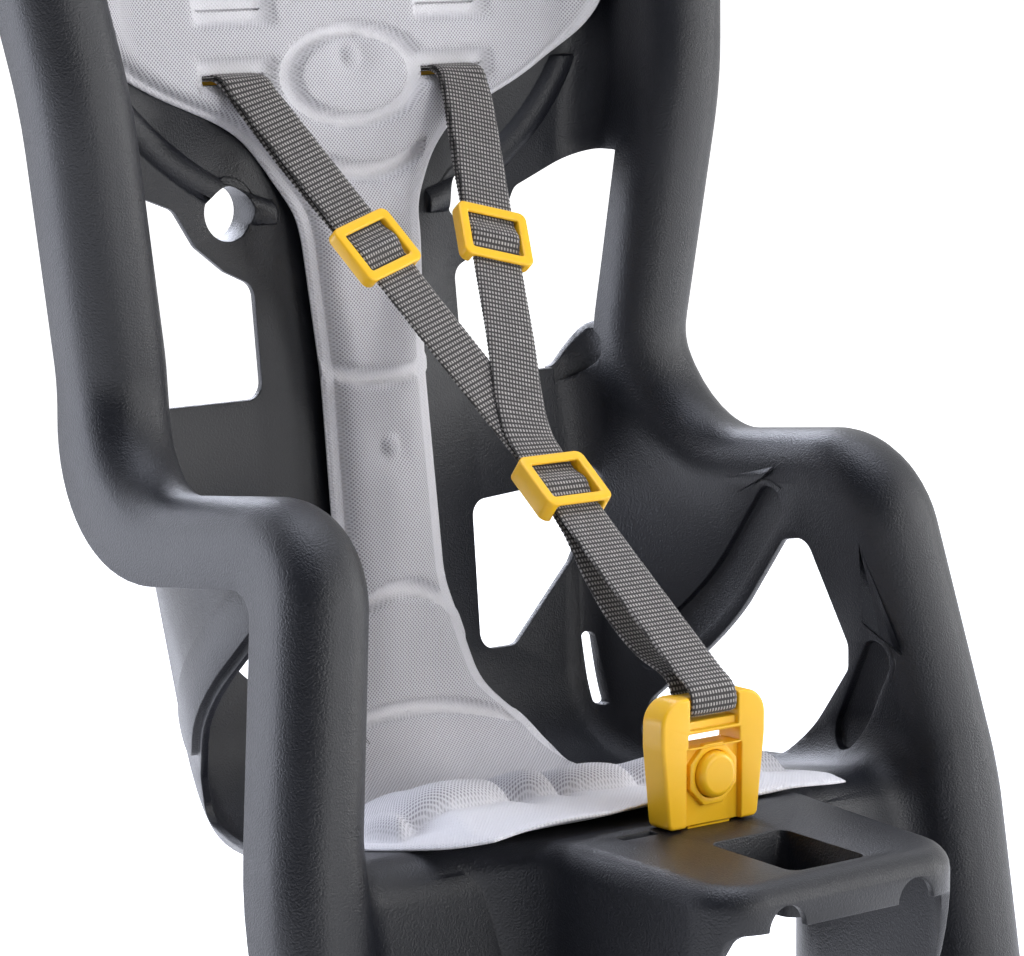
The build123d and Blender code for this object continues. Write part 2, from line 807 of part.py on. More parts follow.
# Buckle that plugs into the pommel, with its round push button
buckle_front = buckle_y - buckle_thickness / 2
buckle_low = nose_height + 0.3
button_height = nose_height + 22
with BuildPart() as buckle_body:
    with BuildSketch(Plane.XZ.offset(-buckle_y - buckle_thickness / 2)):
        with BuildLine():
            FilletPolyline(
                (buckle_foot_width / 2, buckle_low),
                (buckle_width / 2, nose_height + 36),
                (buckle_width / 2, bar_top),
                (-buckle_width / 2, bar_top),
                (-buckle_width / 2, nose_height + 36),
                (-buckle_foot_width / 2, buckle_low),
                radius=[3, 30, 11, 11, 30, 3],
                close=True,
            )
        make_face()
    extrude(amount=buckle_thickness)
    fillet(buckle_body.edges().filter_by(Axis.Y, reverse=True), radius=1.6)
    with Locations((0, buckle_y, bar_low - 2.6)):
        Box(web_width + 2.4, 40, 5.2, mode=Mode.SUBTRACT)
    for step in (-1, 1):
        with Locations((0, buckle_y + step * (buckle_thickness / 2 + 0.3), bar_top - 2)):
            Box(web_width + 2.4, buckle_thickness - 8, 24, mode=Mode.SUBTRACT)
    with Locations((0, buckle_y, nose_height + 37.5)):
        Box(web_width + 4, 40, 6, mode=Mode.SUBTRACT)
    with BuildSketch(Plane.XZ.offset(-buckle_front - 3)):
        with Locations((0, nose_height + 16)):
            Rectangle(31, 36)
    extrude(amount=10, mode=Mode.SUBTRACT)
    with BuildSketch(Plane.XZ.offset(-buckle_front - 3.5)):
        with Locations((0, button_height)):
            RegularPolygon(14.2, 8, rotation=22.5)
    extrude(amount=3)
    with Locations((0, buckle_y - 1.4, nose_height - tongue_length / 2 + 3.5)):
        Box(tongue_width, tongue_thickness - 3, tongue_length + 7)
    with Locations((0, buckle_y, nose_height - tongue_length / 2 + 1)):
        Box(tongue_width, tongue_thickness, tongue_length + 2)
    with BuildSketch(Plane.XZ.offset(-buckle_front - 8.5)):
        with Locations((0, button_height)):
            Circle(button_radius + button_clearance)
    extrude(amount=20, mode=Mode.SUBTRACT)
buckle_body.part.label = "buckle_body"
export_step(buckle_body.part, "parts/buckle_body.step")

with BuildPart() as buckle_button:
    with BuildSketch(Plane.XZ.offset(-buckle_front - 8.5 + 0.4 + button_travel)):
        with Locations((0, button_height)):
            Circle(button_radius)
    extrude(amount=8.5 - 0.4 - button_travel + 0.6 + button_dome)
    fillet(buckle_button.faces().sort_by(Axis.Y)[0].edges(), radius=button_dome)
buckle_button.part.label = "buckle_button"
export_step(buckle_button.part, "parts/buckle_button.step")

# Footrests that slide on the leg guards, their lock plates and foot straps
foot_half = 33.0
strap_lift = 62.0
strap_wide = 22.0
rubber = 2.6
stud_forward = 68.0
stud_height = 8.0
stud_radius = 3.2
for plane, name in zip(leg_planes, ("left", "right")):
    with BuildPart() as footrest:
        with BuildSketch(plane):
            with Locations((0, -foot_clearance - foot_depth / 2)):
                RectangleRounded(2 * foot_half, foot_depth, 14)
        extrude(amount=16)
        with BuildSketch(plane.offset(foot_plate)):
            with Locations((0, -foot_clearance - foot_depth / 2)):
                RectangleRounded(2 * foot_half - 7, foot_depth - 7, 10.5)
        extrude(amount=16, mode=Mode.SUBTRACT)
        with BuildSketch(plane.offset(2)):
            with Locations((0, -foot_clearance - 2)):
                Rectangle(2 * foot_half - 22, 4)
        extrude(amount=46)
        with BuildSketch(plane.offset(foot_neck_height / 2 - 5)):
            with Locations((0, (wall + slide_clearance - foot_clearance) / 2 - 0.5)):
                Rectangle(foot_neck, wall + slide_clearance + foot_clearance + 1)
        extrude(amount=foot_neck_height)
        for side in (-1, 1):
            stud_place = Location((side * foot_half, -stud_forward, stud_height), (0, 90 * side, 0))
            stud_face = Plane(plane.location * stud_place)
            with BuildSketch(stud_face):
                Circle(stud_radius)
            extrude(amount=rubber + 0.8)
            with BuildSketch(stud_face.offset(rubber + 0.8)):
                Circle(stud_radius + 1.8)
            extrude(amount=1.8)
    footrest.part.label = "footrest_" + name
    export_step(footrest.part, "parts/footrest_" + name + ".step")

    with BuildPart() as lock:
        with BuildSketch(plane.offset(foot_neck_height / 2 - 5)):
            with Locations((0, wall + slide_clearance + 2.5)):
                RectangleRounded(foot_head, 5, 1.5)
        extrude(amount=foot_neck_height)
    lock.part.label = "footrest_lock_" + name
    export_step(lock.part, "parts/footrest_lock_" + name + ".step")

    with BuildPart() as foot_strap:
        outside = foot_half + 0.4 + rubber
        strap_place = Location((0, strap_wide / 2 - stud_forward, 0), (90, 0, 0))
        with BuildSketch(Plane(plane.location * strap_place)):
            with BuildLine():
                arc_out = FilletPolyline(
                    (-outside, 1),
                    (-outside, strap_lift),
                    (outside, strap_lift),
                    (outside, 1),
                    radius=26,
                )
                Line(arc_out @ 1, arc_out @ 0)
            make_face()
            with BuildLine():
                arc_in = FilletPolyline(
                    (-outside + rubber, 0),
                    (-outside + rubber, strap_lift - rubber),
                    (outside - rubber, strap_lift - rubber),
                    (outside - rubber, 0),
                    radius=26 - rubber,
                )
                Line(arc_in @ 1, arc_in @ 0)
            make_face(mode=Mode.SUBTRACT)
        extrude(amount=strap_wide)
        with BuildSketch(Plane(plane.location * Location((-60, -stud_forward, stud_height), (0, 90, 0)))):
            Circle(stud_radius + 0.3)
        extrude(amount=120, mode=Mode.SUBTRACT)
    foot_strap.part.label = "foot_strap_" + name
    export_step(foot_strap.part, "parts/foot_strap_" + name + ".step")

# Carrier clamp: base, jaw, bolt, washer, hand knob and the screws of the base
groove = rail_radius + rail_clearance
with BuildPart() as clamp_base:
    with BuildSketch(Plane.XY.offset(jaw_gap / 2)):
        RectangleRounded(clamp_length, clamp_depth, 8)
    extrude(amount=base_height)
    with BuildSketch(Plane.XZ):
        with Locations((-rail_spacing / 2, 0), (rail_spacing / 2, 0)):
            Circle(groove)
    extrude(amount=200, both=True, mode=Mode.SUBTRACT)
    with GridLocations(2 * screw_x, 2 * screw_y, 2, 2):
        with Locations((0, 0, 0)):
            Cylinder(screw_radius + 0.3, 60, mode=Mode.SUBTRACT)
            Cylinder(6, 2 * (jaw_gap / 2 + 4.5), mode=Mode.SUBTRACT)
    Cylinder(bolt_radius + 0.3, 80, mode=Mode.SUBTRACT)
    with Locations((0, 0, base_top)):
        Cylinder(9.3, 2 * 5.3, mode=Mode.SUBTRACT)
clamp_base.part.label = "clamp_base"
export_step(clamp_base.part, "parts/clamp_base.step")

with BuildPart() as clamp_jaw:
    with BuildSketch(Plane.XY.offset(-jaw_gap / 2 - jaw_height)):
        RectangleRounded(clamp_length - 8, clamp_depth, 8)
    extrude(amount=jaw_height)
    with BuildSketch(Plane.XZ):
        with Locations((-rail_spacing / 2, 0), (rail_spacing / 2, 0)):
            Circle(groove)
    extrude(amount=200, both=True, mode=Mode.SUBTRACT)
    Cylinder(bolt_radius + 0.3, 80, mode=Mode.SUBTRACT)
clamp_jaw.part.label = "clamp_jaw"
export_step(clamp_jaw.part, "parts/clamp_jaw.step")

washer_thickness = 1.6
knob_top = -jaw_gap / 2 - jaw_height - 0.1 - washer_thickness - 0.1
bolt_end = knob_top - knob_height - jaw_travel - 6
with BuildPart() as clamp_bolt:
    with BuildSketch(Plane.XY.offset(bolt_end)):
        Circle(bolt_radius)
    extrude(amount=base_top - 5.2 - bolt_end)
    with BuildSketch(Plane.XY.offset(base_top - 5.2)):
        Circle(9)
    extrude(amount=5)
    chamfer(clamp_bolt.edges().group_by(Axis.Z)[0], length=1)
clamp_bolt.part.label = "clamp_bolt"
export_step(clamp_bolt.part, "parts/clamp_bolt.step")

with BuildPart() as clamp_washer:
    with BuildSketch(Plane.XY.offset(knob_top + 0.1)):
        Circle(11)
        Circle(bolt_radius + 0.3, mode=Mode.SUBTRACT)
    extrude(amount=washer_thickness)
clamp_washer.part.label = "clamp_washer"
export_step(clamp_washer.part, "parts/clamp_washer.step")

with BuildPart() as clamp_knob:
    with BuildSketch(Plane.XY.offset(knob_top - knob_height)):
        Circle(knob_radius - 6)
        with PolarLocations(knob_radius - 7, 6):
            Circle(7)
        Circle(bolt_radius + thread_clearance, mode=Mode.SUBTRACT)
    extrude(amount=knob_height - 4)
    with BuildSketch(Plane.XY.offset(knob_top - 4)):
        Circle(11)
        Circle(bolt_radius + thread_clearance, mode=Mode.SUBTRACT)
    extrude(amount=4)
clamp_knob.part.label = "clamp_knob"
export_step(clamp_knob.part, "parts/clamp_knob.step")

with BuildPart() as base_screws:
    with GridLocations(2 * screw_x, 2 * screw_y, 2, 2):
        with Locations((0, 0, jaw_gap / 2 + 4.3)):
            Cylinder(5.4, 3.8, align=(Align.CENTER, Align.CENTER, Align.MAX))
            Cylinder(screw_radius - 0.05, 30, align=(Align.CENTER, Align.CENTER, Align.MIN))
base_screws.part.label = "base_screws"
export_step(base_screws.part, "parts/base_screws.step")
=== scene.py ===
"""Child bike seat: a moulded shell with a pressed foam pad, a webbing harness and a carrier clamp."""
import math

import bmesh
import bpy
import numpy as np
from bpy.props import FloatProperty, FloatVectorProperty, PointerProperty
from mathutils import Matrix, Vector


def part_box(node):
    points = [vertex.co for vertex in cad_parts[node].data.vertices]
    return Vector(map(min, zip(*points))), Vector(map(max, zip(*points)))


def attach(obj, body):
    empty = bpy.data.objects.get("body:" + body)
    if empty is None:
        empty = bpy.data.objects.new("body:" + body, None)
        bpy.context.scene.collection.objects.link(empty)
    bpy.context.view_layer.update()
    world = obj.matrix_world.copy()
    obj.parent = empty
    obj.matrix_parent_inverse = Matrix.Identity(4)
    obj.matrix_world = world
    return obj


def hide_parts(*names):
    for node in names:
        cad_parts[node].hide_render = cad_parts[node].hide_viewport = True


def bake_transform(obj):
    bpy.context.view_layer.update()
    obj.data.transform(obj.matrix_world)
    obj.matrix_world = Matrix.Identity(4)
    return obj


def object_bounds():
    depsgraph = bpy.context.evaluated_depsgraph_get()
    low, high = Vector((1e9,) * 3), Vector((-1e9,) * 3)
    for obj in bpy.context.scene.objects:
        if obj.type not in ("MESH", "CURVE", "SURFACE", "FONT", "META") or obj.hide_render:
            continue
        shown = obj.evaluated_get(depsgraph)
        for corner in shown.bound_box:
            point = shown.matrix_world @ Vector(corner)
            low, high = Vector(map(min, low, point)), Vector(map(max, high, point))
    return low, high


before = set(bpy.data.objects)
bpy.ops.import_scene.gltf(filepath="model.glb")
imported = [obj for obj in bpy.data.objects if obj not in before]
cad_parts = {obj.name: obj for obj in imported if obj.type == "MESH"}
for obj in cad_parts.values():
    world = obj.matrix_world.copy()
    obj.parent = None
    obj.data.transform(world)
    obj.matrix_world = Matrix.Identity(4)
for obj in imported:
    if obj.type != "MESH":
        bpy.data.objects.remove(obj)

bl_info = {
    "name": "Child bike seat",
    "version": (1, 0, 0),
    "blender": (4, 5, 0),
    "location": "View3D > Sidebar > Bike seat",
    "description": "Dresses the packed frame of a child bike seat with its shapes and finishes",
    "category": "Object",
}

CAD_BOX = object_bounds()

# Places that the solids set, in metres; the first two are y and z in the side view
BACK_FOOT = Vector((0.101, 0.041))
PAN_FRONT = Vector((-0.072, 0.072))
RECLINE = 0.133
CORNER_ROUND = 0.050
PAD_GAP = 0.0003
HEAD_FOOT = 0.300
HEAD_BEND = 0.1158
HEAD_BEND_ROUND = 0.024
HEAD_BEND_ANGLE = math.atan(0.775)
PAD_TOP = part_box("seat_pad")[1].z
PAD_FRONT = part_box("seat_pad")[0].y
SLOT_X = 0.062
SLOT_ROWS = (0.381, 0.411)
WEB_JOIN = Vector((0.0, 0.009, 0.226))
BUCKLE_LOW, BUCKLE_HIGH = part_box("buckle_body")
BUCKLE_Y = (BUCKLE_LOW.y + BUCKLE_HIGH.y) / 2
BAR_TOP = BUCKLE_HIGH.z
SHELL_WALL = 0.0035

# Meshes of the rigid pieces
WELD = 2e-6
FLAT_ANGLE = math.radians(0.4)
SHARP_ANGLE = math.radians(32)

# Pad's outline as places and half widths: by height on the back, then by the distance past the back's
# end, past the corner's end and short of the front edge
HEAD_TOP_HALF = 0.100
BACK_HALVES = (
    (0.474, 0.150), (0.440, 0.160), (0.411, 0.154), (0.396, 0.143), (0.374, 0.106), (0.358, 0.064),
    (0.343, 0.050), (0.318, 0.035), (0.243, 0.030), (0.145, 0.031), (0.095, 0.052),
)
CORNER_HALVES = ((0.02, 0.074),)
SEAT_HALVES = ((0.025, 0.104), (0.070, 0.117))
FRONT_HALVES = ((0.045, 0.116), (0.018, 0.110), (0.0, 0.098))
OUTLINE_STEPS = 2001
OUTLINE_BLUR = 41
HEAD_CORNER = 0.045
HEAD_CORNER_SHARE = 0.8

# Pad's mesh: rows and columns, closer together at the edges
PAD_ROWS = 340
PAD_COLUMNS = 124
EDGE_ROWS = (0, 0.0008, 0.002)
ROWS_START = 0.0045
EDGE_COLUMNS = (0.994, 1)
COLUMNS_REACH = 0.99
COLUMNS_SHIFT = 0.06

# Pad's pressed form
FLANGE = 0.052
FOAM_ROUND = 0.011
STRIP_LIFT = 0.006
STRIP_ENDS = (0.345, 0.300, 0.150)
RIM_DROP = 0.35
RIM_EASE = (-0.0004, 0.0022)
LINE_HALF = 0.0023
LINE_SOFT = 0.0024
PRESSED_SHARE = 0.92
PRESSED_LEVEL = 1.15
LEAST_LEVEL = 0.3
FLAT_START = 0.7
FLAT_FADE = 0.003
RING_AT = (0.003, 0.379)
RING_HALVES = (0.0365, 0.0210)
RING_SCALE = 0.027
# Height, bow and middle of each band, then its ends: their middle, half width and fade
BANDS = (
    (0.3345, 9.0, 0.006, 0.006, 0.034, 10.0),
    (0.2405, 6.0, 0.002, 0.0, 1.0, 0.0),
    (0.1436, -14.0, 0.002, 0.0, 1.0, 0.0),
    (0.0868, -4.0, 0.004, 0.0, 0.060, 0.5),
)
SLOT_FRAME = (0.019, 0.0050)
SLOT_FRAME_SOFT = 0.004
# Height, depth and reach of the hollows round the two studs
DIMPLES = ((0.388, 0.0036, 0.014), (0.2090, 0.0042, 0.016))
DIMPLE_X = 0.003
DIMPLE_FALL = 2.2
STUD_RADIUS = 0.0044
STUD_SHARE = 0.95
SEAT_START = (-0.005, 0.045)
SEAT_PUFF = 0.0075
SEAT_PUFF_SLOPE = 0.045
SEAT_PUFF_LIMITS = (0.003, 0.011)
SEAT_PUFF_REACH = 0.055
SEAT_SIDE_RISE = 1.4
# Place across, place behind the flange and depth of the puckers between the lobes
PUCKERS = (
    (-0.097, 0.003, 0.003), (-0.042, 0.006, 0.005), (-0.017, 0.010, 0.005), (0.030, 0.006, 0.004),
    (0.075, 0.004, 0.003),
)
PUCKER_HALF = 0.0045
PUCKER_REACH = 0.014
PAD_SIDE = 0.130
LOBE_CUSPS = (-PAD_SIDE, *(across for across, behind, depth in PUCKERS), PAD_SIDE)
LOBE_SHAPE = 0.7
LOBE_BULGE = 0.008
LOBE_PUFF = 0.0050
LOBE_MIDDLE = 0.012
LOBE_REACH = 0.020
# Waves of the front lip: height, turns and phase
LIP_REACH = 0.075
LIP_WAVES = ((0.0014, 95, 0.7), (0.0012, 41, 2.0))
LIP_LENGTH = 0.002
LIP_LIFT = 0.0012
LIP_BOW = 0.0045
LIP_BOW_AT = 0.030
LIP_BOW_ENDS = (0.020, 0.070)
LIP_CURL = (0.0012, 70, 1.2)
LIP_DROP = 0.004
LIP_DROP_ENDS = (0.060, 0.098)
SWELL = 0.00035
SWELL_TURNS = (61, 37)
SWELL_ENDS = (0.01, 0.03)

# Cuts at the pad's strap slots
SLOT_LENGTH = 0.034
SLOT_DEPTH = 0.08
SLOT_BEHIND = 0.04
SLOT_GAP = 0.0046
SLOT_DROP = 0.0012
SLIT_GAP = 0.0007
SLIT_FLOOR = 0.0012

# Webbing
STRIP_COLUMNS = 13
ROUTE_STEPS = 60
STEPS_PER_RIB = 4
EDGE_SCALLOP = 0.020
RIB_RELIEF = 0.00012
EDGE_THINNING = 0.45
GLIDE_SHARE = 0.462
JOIN_GLIDE = 0.030
BAR_BULGE = 0.0025
BAR_REACH = 0.009
BAR_AIM = 0.004
# Points of the loop round the buckle's bar: y from its middle and z from its top
BAR_LOOP = (
    (0.006, 0.009), (-0.004, 0.0032), (-0.0062, -0.0015), (-0.0056, -0.0069), (-0.003, -0.0081),
    (0.003, -0.0081), (0.0056, -0.0069), (0.0064, -0.0015), (0.010, 0.0064),
)
PASS_GAP = 0.001
SLACK_START = (0.015, 0.003)
# Strap's places behind and before its slot, and shares of its free run
STRAP_AT_SLOT = (SHELL_WALL + 0.022, SHELL_WALL + 0.010, -0.011)
STRAP_SHARES = (0.03, 0.38, 0.70, 0.97)
STRAP_PAST_JOIN = 0.012
# Second layer: places at the slot with their drop, then shares of the run with shares of the gap
TAIL_AT_SLOT = ((SHELL_WALL + 0.010, 0.0017), (-0.008, 0.0018))
TAIL_SHARES = ((0.05, 0.8), (0.22, 1.0), (GLIDE_SHARE - 0.02, 0.6))
LAYER_GAP = 0.0036
LAYER_BOW = 0.0085
LAYER_BOW_SHAPE = ((0.16, 0.75), (0.32, 1.0), (0.50, 0.75), (0.68, 0.15))

# Studio
WHITE = (1, 1, 1, 1)
NEUTRAL = (1.0, 1.0, 1.0)
COOL = (0.82, 0.86, 1.0)
# Place, width with height, and tint of each soft box
LAMPS = {
    "key": ((1.0, -2.0, 1.2), (1.2, 1.8), NEUTRAL),
    "rim": ((-1.7, 1.7, 0.5), (1.6, 2.0), COOL),
    "back": ((0.4, 2.0, 1.4), (1.8, 1.1), COOL),
    "top": ((0.2, 0.2, 2.2), (1.6, 1.6), COOL),
    "strip": ((2.0, -1.0, 0.5), (0.4, 1.8), NEUTRAL),
    "front": ((0.3, -2.2, 0.65), (0.22, 0.8), NEUTRAL),
}
FLOOR_DROP = 0.002
FLOOR_REACH = 30.0
GLOW_RISE = (1.2, 4.5)
BACKDROP_AZIMUTH = math.radians(-39)
BACKDROP_EDGE = (-0.25, 0.35)

# Camera of the photograph
CAMERA_AT = Vector((-1.168, -1.423, 0.501))
CAMERA_AZIMUTH = math.radians(-39)
CAMERA_ELEVATION = math.radians(9)
PICTURE_WIDTH = 1024
FOCAL_PIXELS = 4230


def colour(name, text, default):
    return FloatVectorProperty(
        name=name, description=text, default=default, size=3, min=0, max=1, subtype="COLOR"
    )


def length(name, text, default, least=0.0, most=1.0):
    return FloatProperty(
        name=name, description=text, default=default, min=least, max=most, unit="LENGTH", precision=4
    )


def level(name, text, default):
    return FloatProperty(name=name, description=text, default=default, min=0)


def power(name, text, default):
    return FloatProperty(name=name, description=text, default=default, min=0, unit="POWER")


class ShellLook(bpy.types.PropertyGroup):
    """Finish of the moulded shell and of the other dark plastic."""

    tint: colour("Plastic", "Colour of the dark moulded plastic", (0.0046, 0.0054, 0.0092))
    grain: length("Grain", "Width of one bump of the moulded grain", 0.0009, 0.0001, 0.01)
    grain_depth: length("Grain depth", "Depth of the moulded grain", 0.00034, 0.0, 0.002)
    edge: length("Edge", "Rounding of the moulded edges", 0.0006, 0.0, 0.005)


class PadLook(bpy.types.PropertyGroup):
    """Shape and finish of the pressed foam pad."""

    tint: colour("Fabric", "Colour of the mesh fabric", (0.66, 0.65, 0.68))
    shade: colour("Mesh holes", "Colour between the threads", (0.30, 0.29, 0.315))
    flat: colour("Pressed", "Colour of the fabric where it is pressed flat", (0.74, 0.73, 0.76))
    foam: length("Foam", "Thickness of the foam", 0.0082, 0.002, 0.03)
    welt: length("Welt", "Thickness of the pressed border and bands", 0.0020, 0.001, 0.01)
    welt_width: length("Welt width", "Width of the pressed border", 0.0065, 0.002, 0.03)
    mesh_pitch: length("Mesh pitch", "Distance between the threads", 0.0019, 0.0003, 0.01)


class WebbingLook(bpy.types.PropertyGroup):
    """Size and weave of the harness webbing."""

    tint: colour("Webbing", "Colour of the ground weave", (0.026, 0.023, 0.022))
    thread: colour("Thread", "Colour of the pale threads", (0.48, 0.45, 0.43))
    width: length("Width", "Width of the webbing", 0.025, 0.01, 0.05)
    thickness: length("Thickness", "Thickness of the webbing", 0.0016, 0.0005, 0.004)
    column: length("Column pitch", "Distance between the pale floats of a rib", 0.0016, 0.0005, 0.01)
    rib: length("Rib pitch", "Distance between the cross ribs", 0.0024, 0.0005, 0.01)


class TrimLook(bpy.types.PropertyGroup):
    """Finish of the bright plastic, the rubber and the metal."""

    bright: colour("Bright plastic", "Colour of the slides and the buckle", (0.93, 0.52, 0.012))
    rubber: colour("Rubber", "Colour of the foot straps", (0.022, 0.022, 0.024))
    steel: colour("Steel", "Colour of the plated steel", (0.62, 0.62, 0.64))


class StageLook(bpy.types.PropertyGroup):
    """Floor and light of the studio."""

    floor: colour("Floor", "Colour of the studio floor", (0.86, 0.86, 0.87))
    daylight: level("Daylight", "Strength of the room's light", 0.34)
    room: level("Room", "Light of the room's dim side in reflections", 0.04)
    glow: level("Glow", "Light of the floor in view and in reflections", 0.50)
    key: power("Key", "Power of the key light", 15)
    rim: power("Rim", "Power of the light from the left", 50)
    back: power("Back", "Power of the light from behind", 72)
    top: power("Top", "Power of the top light", 32)
    strip: power("Strip", "Power of the narrow side light", 21)
    front: power("Front", "Power of the narrow front light", 11)


LOOKS = {
    "seat_shell_look": ShellLook,
    "seat_pad_look": PadLook,
    "seat_webbing_look": WebbingLook,
    "seat_trim_look": TrimLook,
    "seat_stage_look": StageLook,
}


# Materials


class Finish:
    """Node material with a principled shader, and short ways to add nodes to it."""

    def __init__(self, name, tint, roughness):
        self.material = bpy.data.materials.new(name)
        self.material.use_nodes = True
        self.tree = self.material.node_tree
        self.shader = self.tree.nodes["Principled BSDF"]
        self.shader.inputs["Base Color"].default_value = (*tint, 1)
        self.shader.inputs["Roughness"].default_value = roughness

    def node(self, kind, settings=(), **links):
        made = self.tree.nodes.new(kind)
        for key, value in dict(settings).items():
            setattr(made, key, value)
        for key, value in links.items():
            numbered = key[1:].isdigit()
            socket = made.inputs[int(key[1:]) if numbered else key.replace("_", " ")]
            if isinstance(value, bpy.types.NodeSocket):
                self.tree.links.new(value, socket)
            else:
                socket.default_value = value
        return made

    def maths(self, operation, *values):
        links = {f"_{index}": value for index, value in enumerate(values)}
        return self.node("ShaderNodeMath", {"operation": operation}, **links).outputs[0]

    def mixed(self, share, first, second):
        made = self.node("ShaderNodeMix", {"data_type": "RGBA"})
        for index, value in ((0, share), (6, first), (7, second)):
            if isinstance(value, bpy.types.NodeSocket):
                self.tree.links.new(value, made.inputs[index])
            elif index:
                made.inputs[index].default_value = (*value, 1)
            else:
                made.inputs[index].default_value = value
        return made.outputs[2]

    def ramp(self, value, low, high, to_low=0.0, to_high=1.0):
        return self.node(
            "ShaderNodeMapRange", {"clamp": True}, Value=value, From_Min=low, From_Max=high,
            To_Min=to_low, To_Max=to_high,
        ).outputs[0]

    def place(self, use_uv=False):
        return self.node("ShaderNodeTexCoord").outputs["UV" if use_uv else "Object"]

    def noise(self, size, detail=2.0):
        return self.node(
            "ShaderNodeTexNoise", Vector=self.place(), Scale=1 / size, Detail=detail, Roughness=0.55
        ).outputs["Fac"]

    def bump(self, height, depth):
        return self.node("ShaderNodeBump", Height=height, Distance=depth, Strength=1.0).outputs["Normal"]

    def link(self, value, socket):
        self.tree.links.new(value, self.shader.inputs[socket])

    def clouded(self, size, detail, tint, low, high):
        """Colour that drifts between a darker and a paler tint, and the clouds that it follows."""
        cloud = self.noise(size, detail)
        return self.mixed(cloud, scaled(tint, low), scaled(tint, high)), cloud


def scaled(tint, factor):
    return tuple(min(1, value * factor) for value in tint)


def grained_plastic(name, tint, roughness, grain, depth):
    """Moulded plastic with an eroded grain, uneven gloss and slightly uneven colour."""
    finish = Finish(name, tint, roughness)
    fine = finish.noise(grain)
    wide = finish.noise(0.045, 3.0)
    pale = tuple(min(1, value * 1.28 + 0.002) for value in tint)
    finish.link(finish.mixed(wide, scaled(tint, 0.86), pale), "Base Color")
    uneven = finish.maths("MULTIPLY_ADD", fine, 0.16, roughness - 0.08)
    finish.link(finish.maths("MULTIPLY_ADD", wide, 0.08, uneven), "Roughness")
    finish.link(finish.bump(fine, depth), "Normal")
    return finish.material


def bright_plastic(name, tint):
    """Smooth coloured moulding with faint flow marks."""
    finish = Finish(name, tint, roughness=0.36)
    flow, _ = finish.clouded(0.012, 3.0, tint, 0.95, 1.04)
    fine = finish.noise(0.0009)
    finish.link(flow, "Base Color")
    finish.link(finish.ramp(fine, 0.3, 0.7, 0.30, 0.42), "Roughness")
    finish.link(finish.bump(fine, 0.00003), "Normal")
    finish.shader.inputs["Subsurface Weight"].default_value = 0.06
    finish.shader.inputs["Subsurface Scale"].default_value = 0.004
    return finish.material


def mesh_fabric(name, look):
    """Knitted mesh over foam: staggered rows of small holes between pale threads."""
    finish = Finish(name, look.tint, roughness=0.92)
    parts = finish.node("ShaderNodeSeparateXYZ", Vector=finish.place(use_uv=True))
    turn = math.pi / look.mesh_pitch
    along = finish.maths("MULTIPLY", parts.outputs[0], turn)
    across = finish.maths("MULTIPLY", parts.outputs[1], turn)
    first = finish.maths("SINE", finish.maths("ADD", along, across))
    second = finish.maths("SINE", finish.maths("SUBTRACT", along, across))
    weave = finish.maths("ABSOLUTE", finish.maths("MULTIPLY", first, second))
    hole = finish.ramp(weave, 0.25, 0.85)
    flat = finish.node("ShaderNodeAttribute", {"attribute_name": "pressed"}).outputs["Fac"]
    ground, _ = finish.clouded(0.05, 3.0, look.tint, 0.95, 1.04)
    knit = finish.mixed(hole, ground, look.shade)
    smooth = finish.mixed(finish.maths("MULTIPLY", hole, 0.35), look.flat, look.tint)
    finish.link(finish.mixed(flat, knit, smooth), "Base Color")
    fuzz = finish.noise(0.0006)
    lift = finish.maths("MULTIPLY_ADD", hole, -1.0, fuzz)
    finish.link(finish.bump(lift, 0.0002), "Normal")
    finish.shader.inputs["Sheen Weight"].default_value = 0.25
    finish.shader.inputs["Sheen Roughness"].default_value = 0.5
    finish.shader.inputs["Specular IOR Level"].default_value = 0.2
    return finish.material


def woven_webbing(name, look):
    """Polyester webbing: dark cross ribs with rows of pale thread floats."""
    finish = Finish(name, look.tint, roughness=0.72)
    parts = finish.node("ShaderNodeSeparateXYZ", Vector=finish.place(use_uv=True))
    row = finish.maths("MULTIPLY", parts.outputs[1], 1 / look.rib)
    inside = finish.maths("FRACT", row)
    shift = finish.maths("MULTIPLY", finish.maths("FLOOR", row), 0.13)
    column = finish.maths("FRACT", finish.maths("MULTIPLY_ADD", parts.outputs[0], 1 / look.column, shift))
    rib = finish.maths("ABSOLUTE", finish.maths("SUBTRACT", inside, 0.5))
    float_row = finish.ramp(rib, 0.34, 0.20)
    off_middle = finish.maths("ABSOLUTE", finish.maths("SUBTRACT", column, 0.5))
    float_dot = finish.ramp(off_middle, 0.36, 0.18)
    pale = finish.maths("MULTIPLY", float_row, float_dot)
    worn = finish.ramp(finish.noise(0.004, 3.0), 0.25, 0.75, 0.55, 1.0)
    finish.link(finish.mixed(finish.maths("MULTIPLY", pale, worn), look.tint, look.thread), "Base Color")
    finish.link(finish.bump(pale, 0.0002), "Normal")
    finish.shader.inputs["Sheen Weight"].default_value = 0.15
    return finish.material


def soft_rubber(name, tint):
    """Matt rubber with a fine dusty bloom."""
    finish = Finish(name, tint, roughness=0.62)
    bloom, _ = finish.clouded(0.02, 4.0, tint, 0.85, 1.4)
    fine = finish.noise(0.0008)
    finish.link(bloom, "Base Color")
    finish.link(finish.ramp(fine, 0.3, 0.7, 0.55, 0.72), "Roughness")
    finish.link(finish.bump(fine, 0.00008), "Normal")
    return finish.material


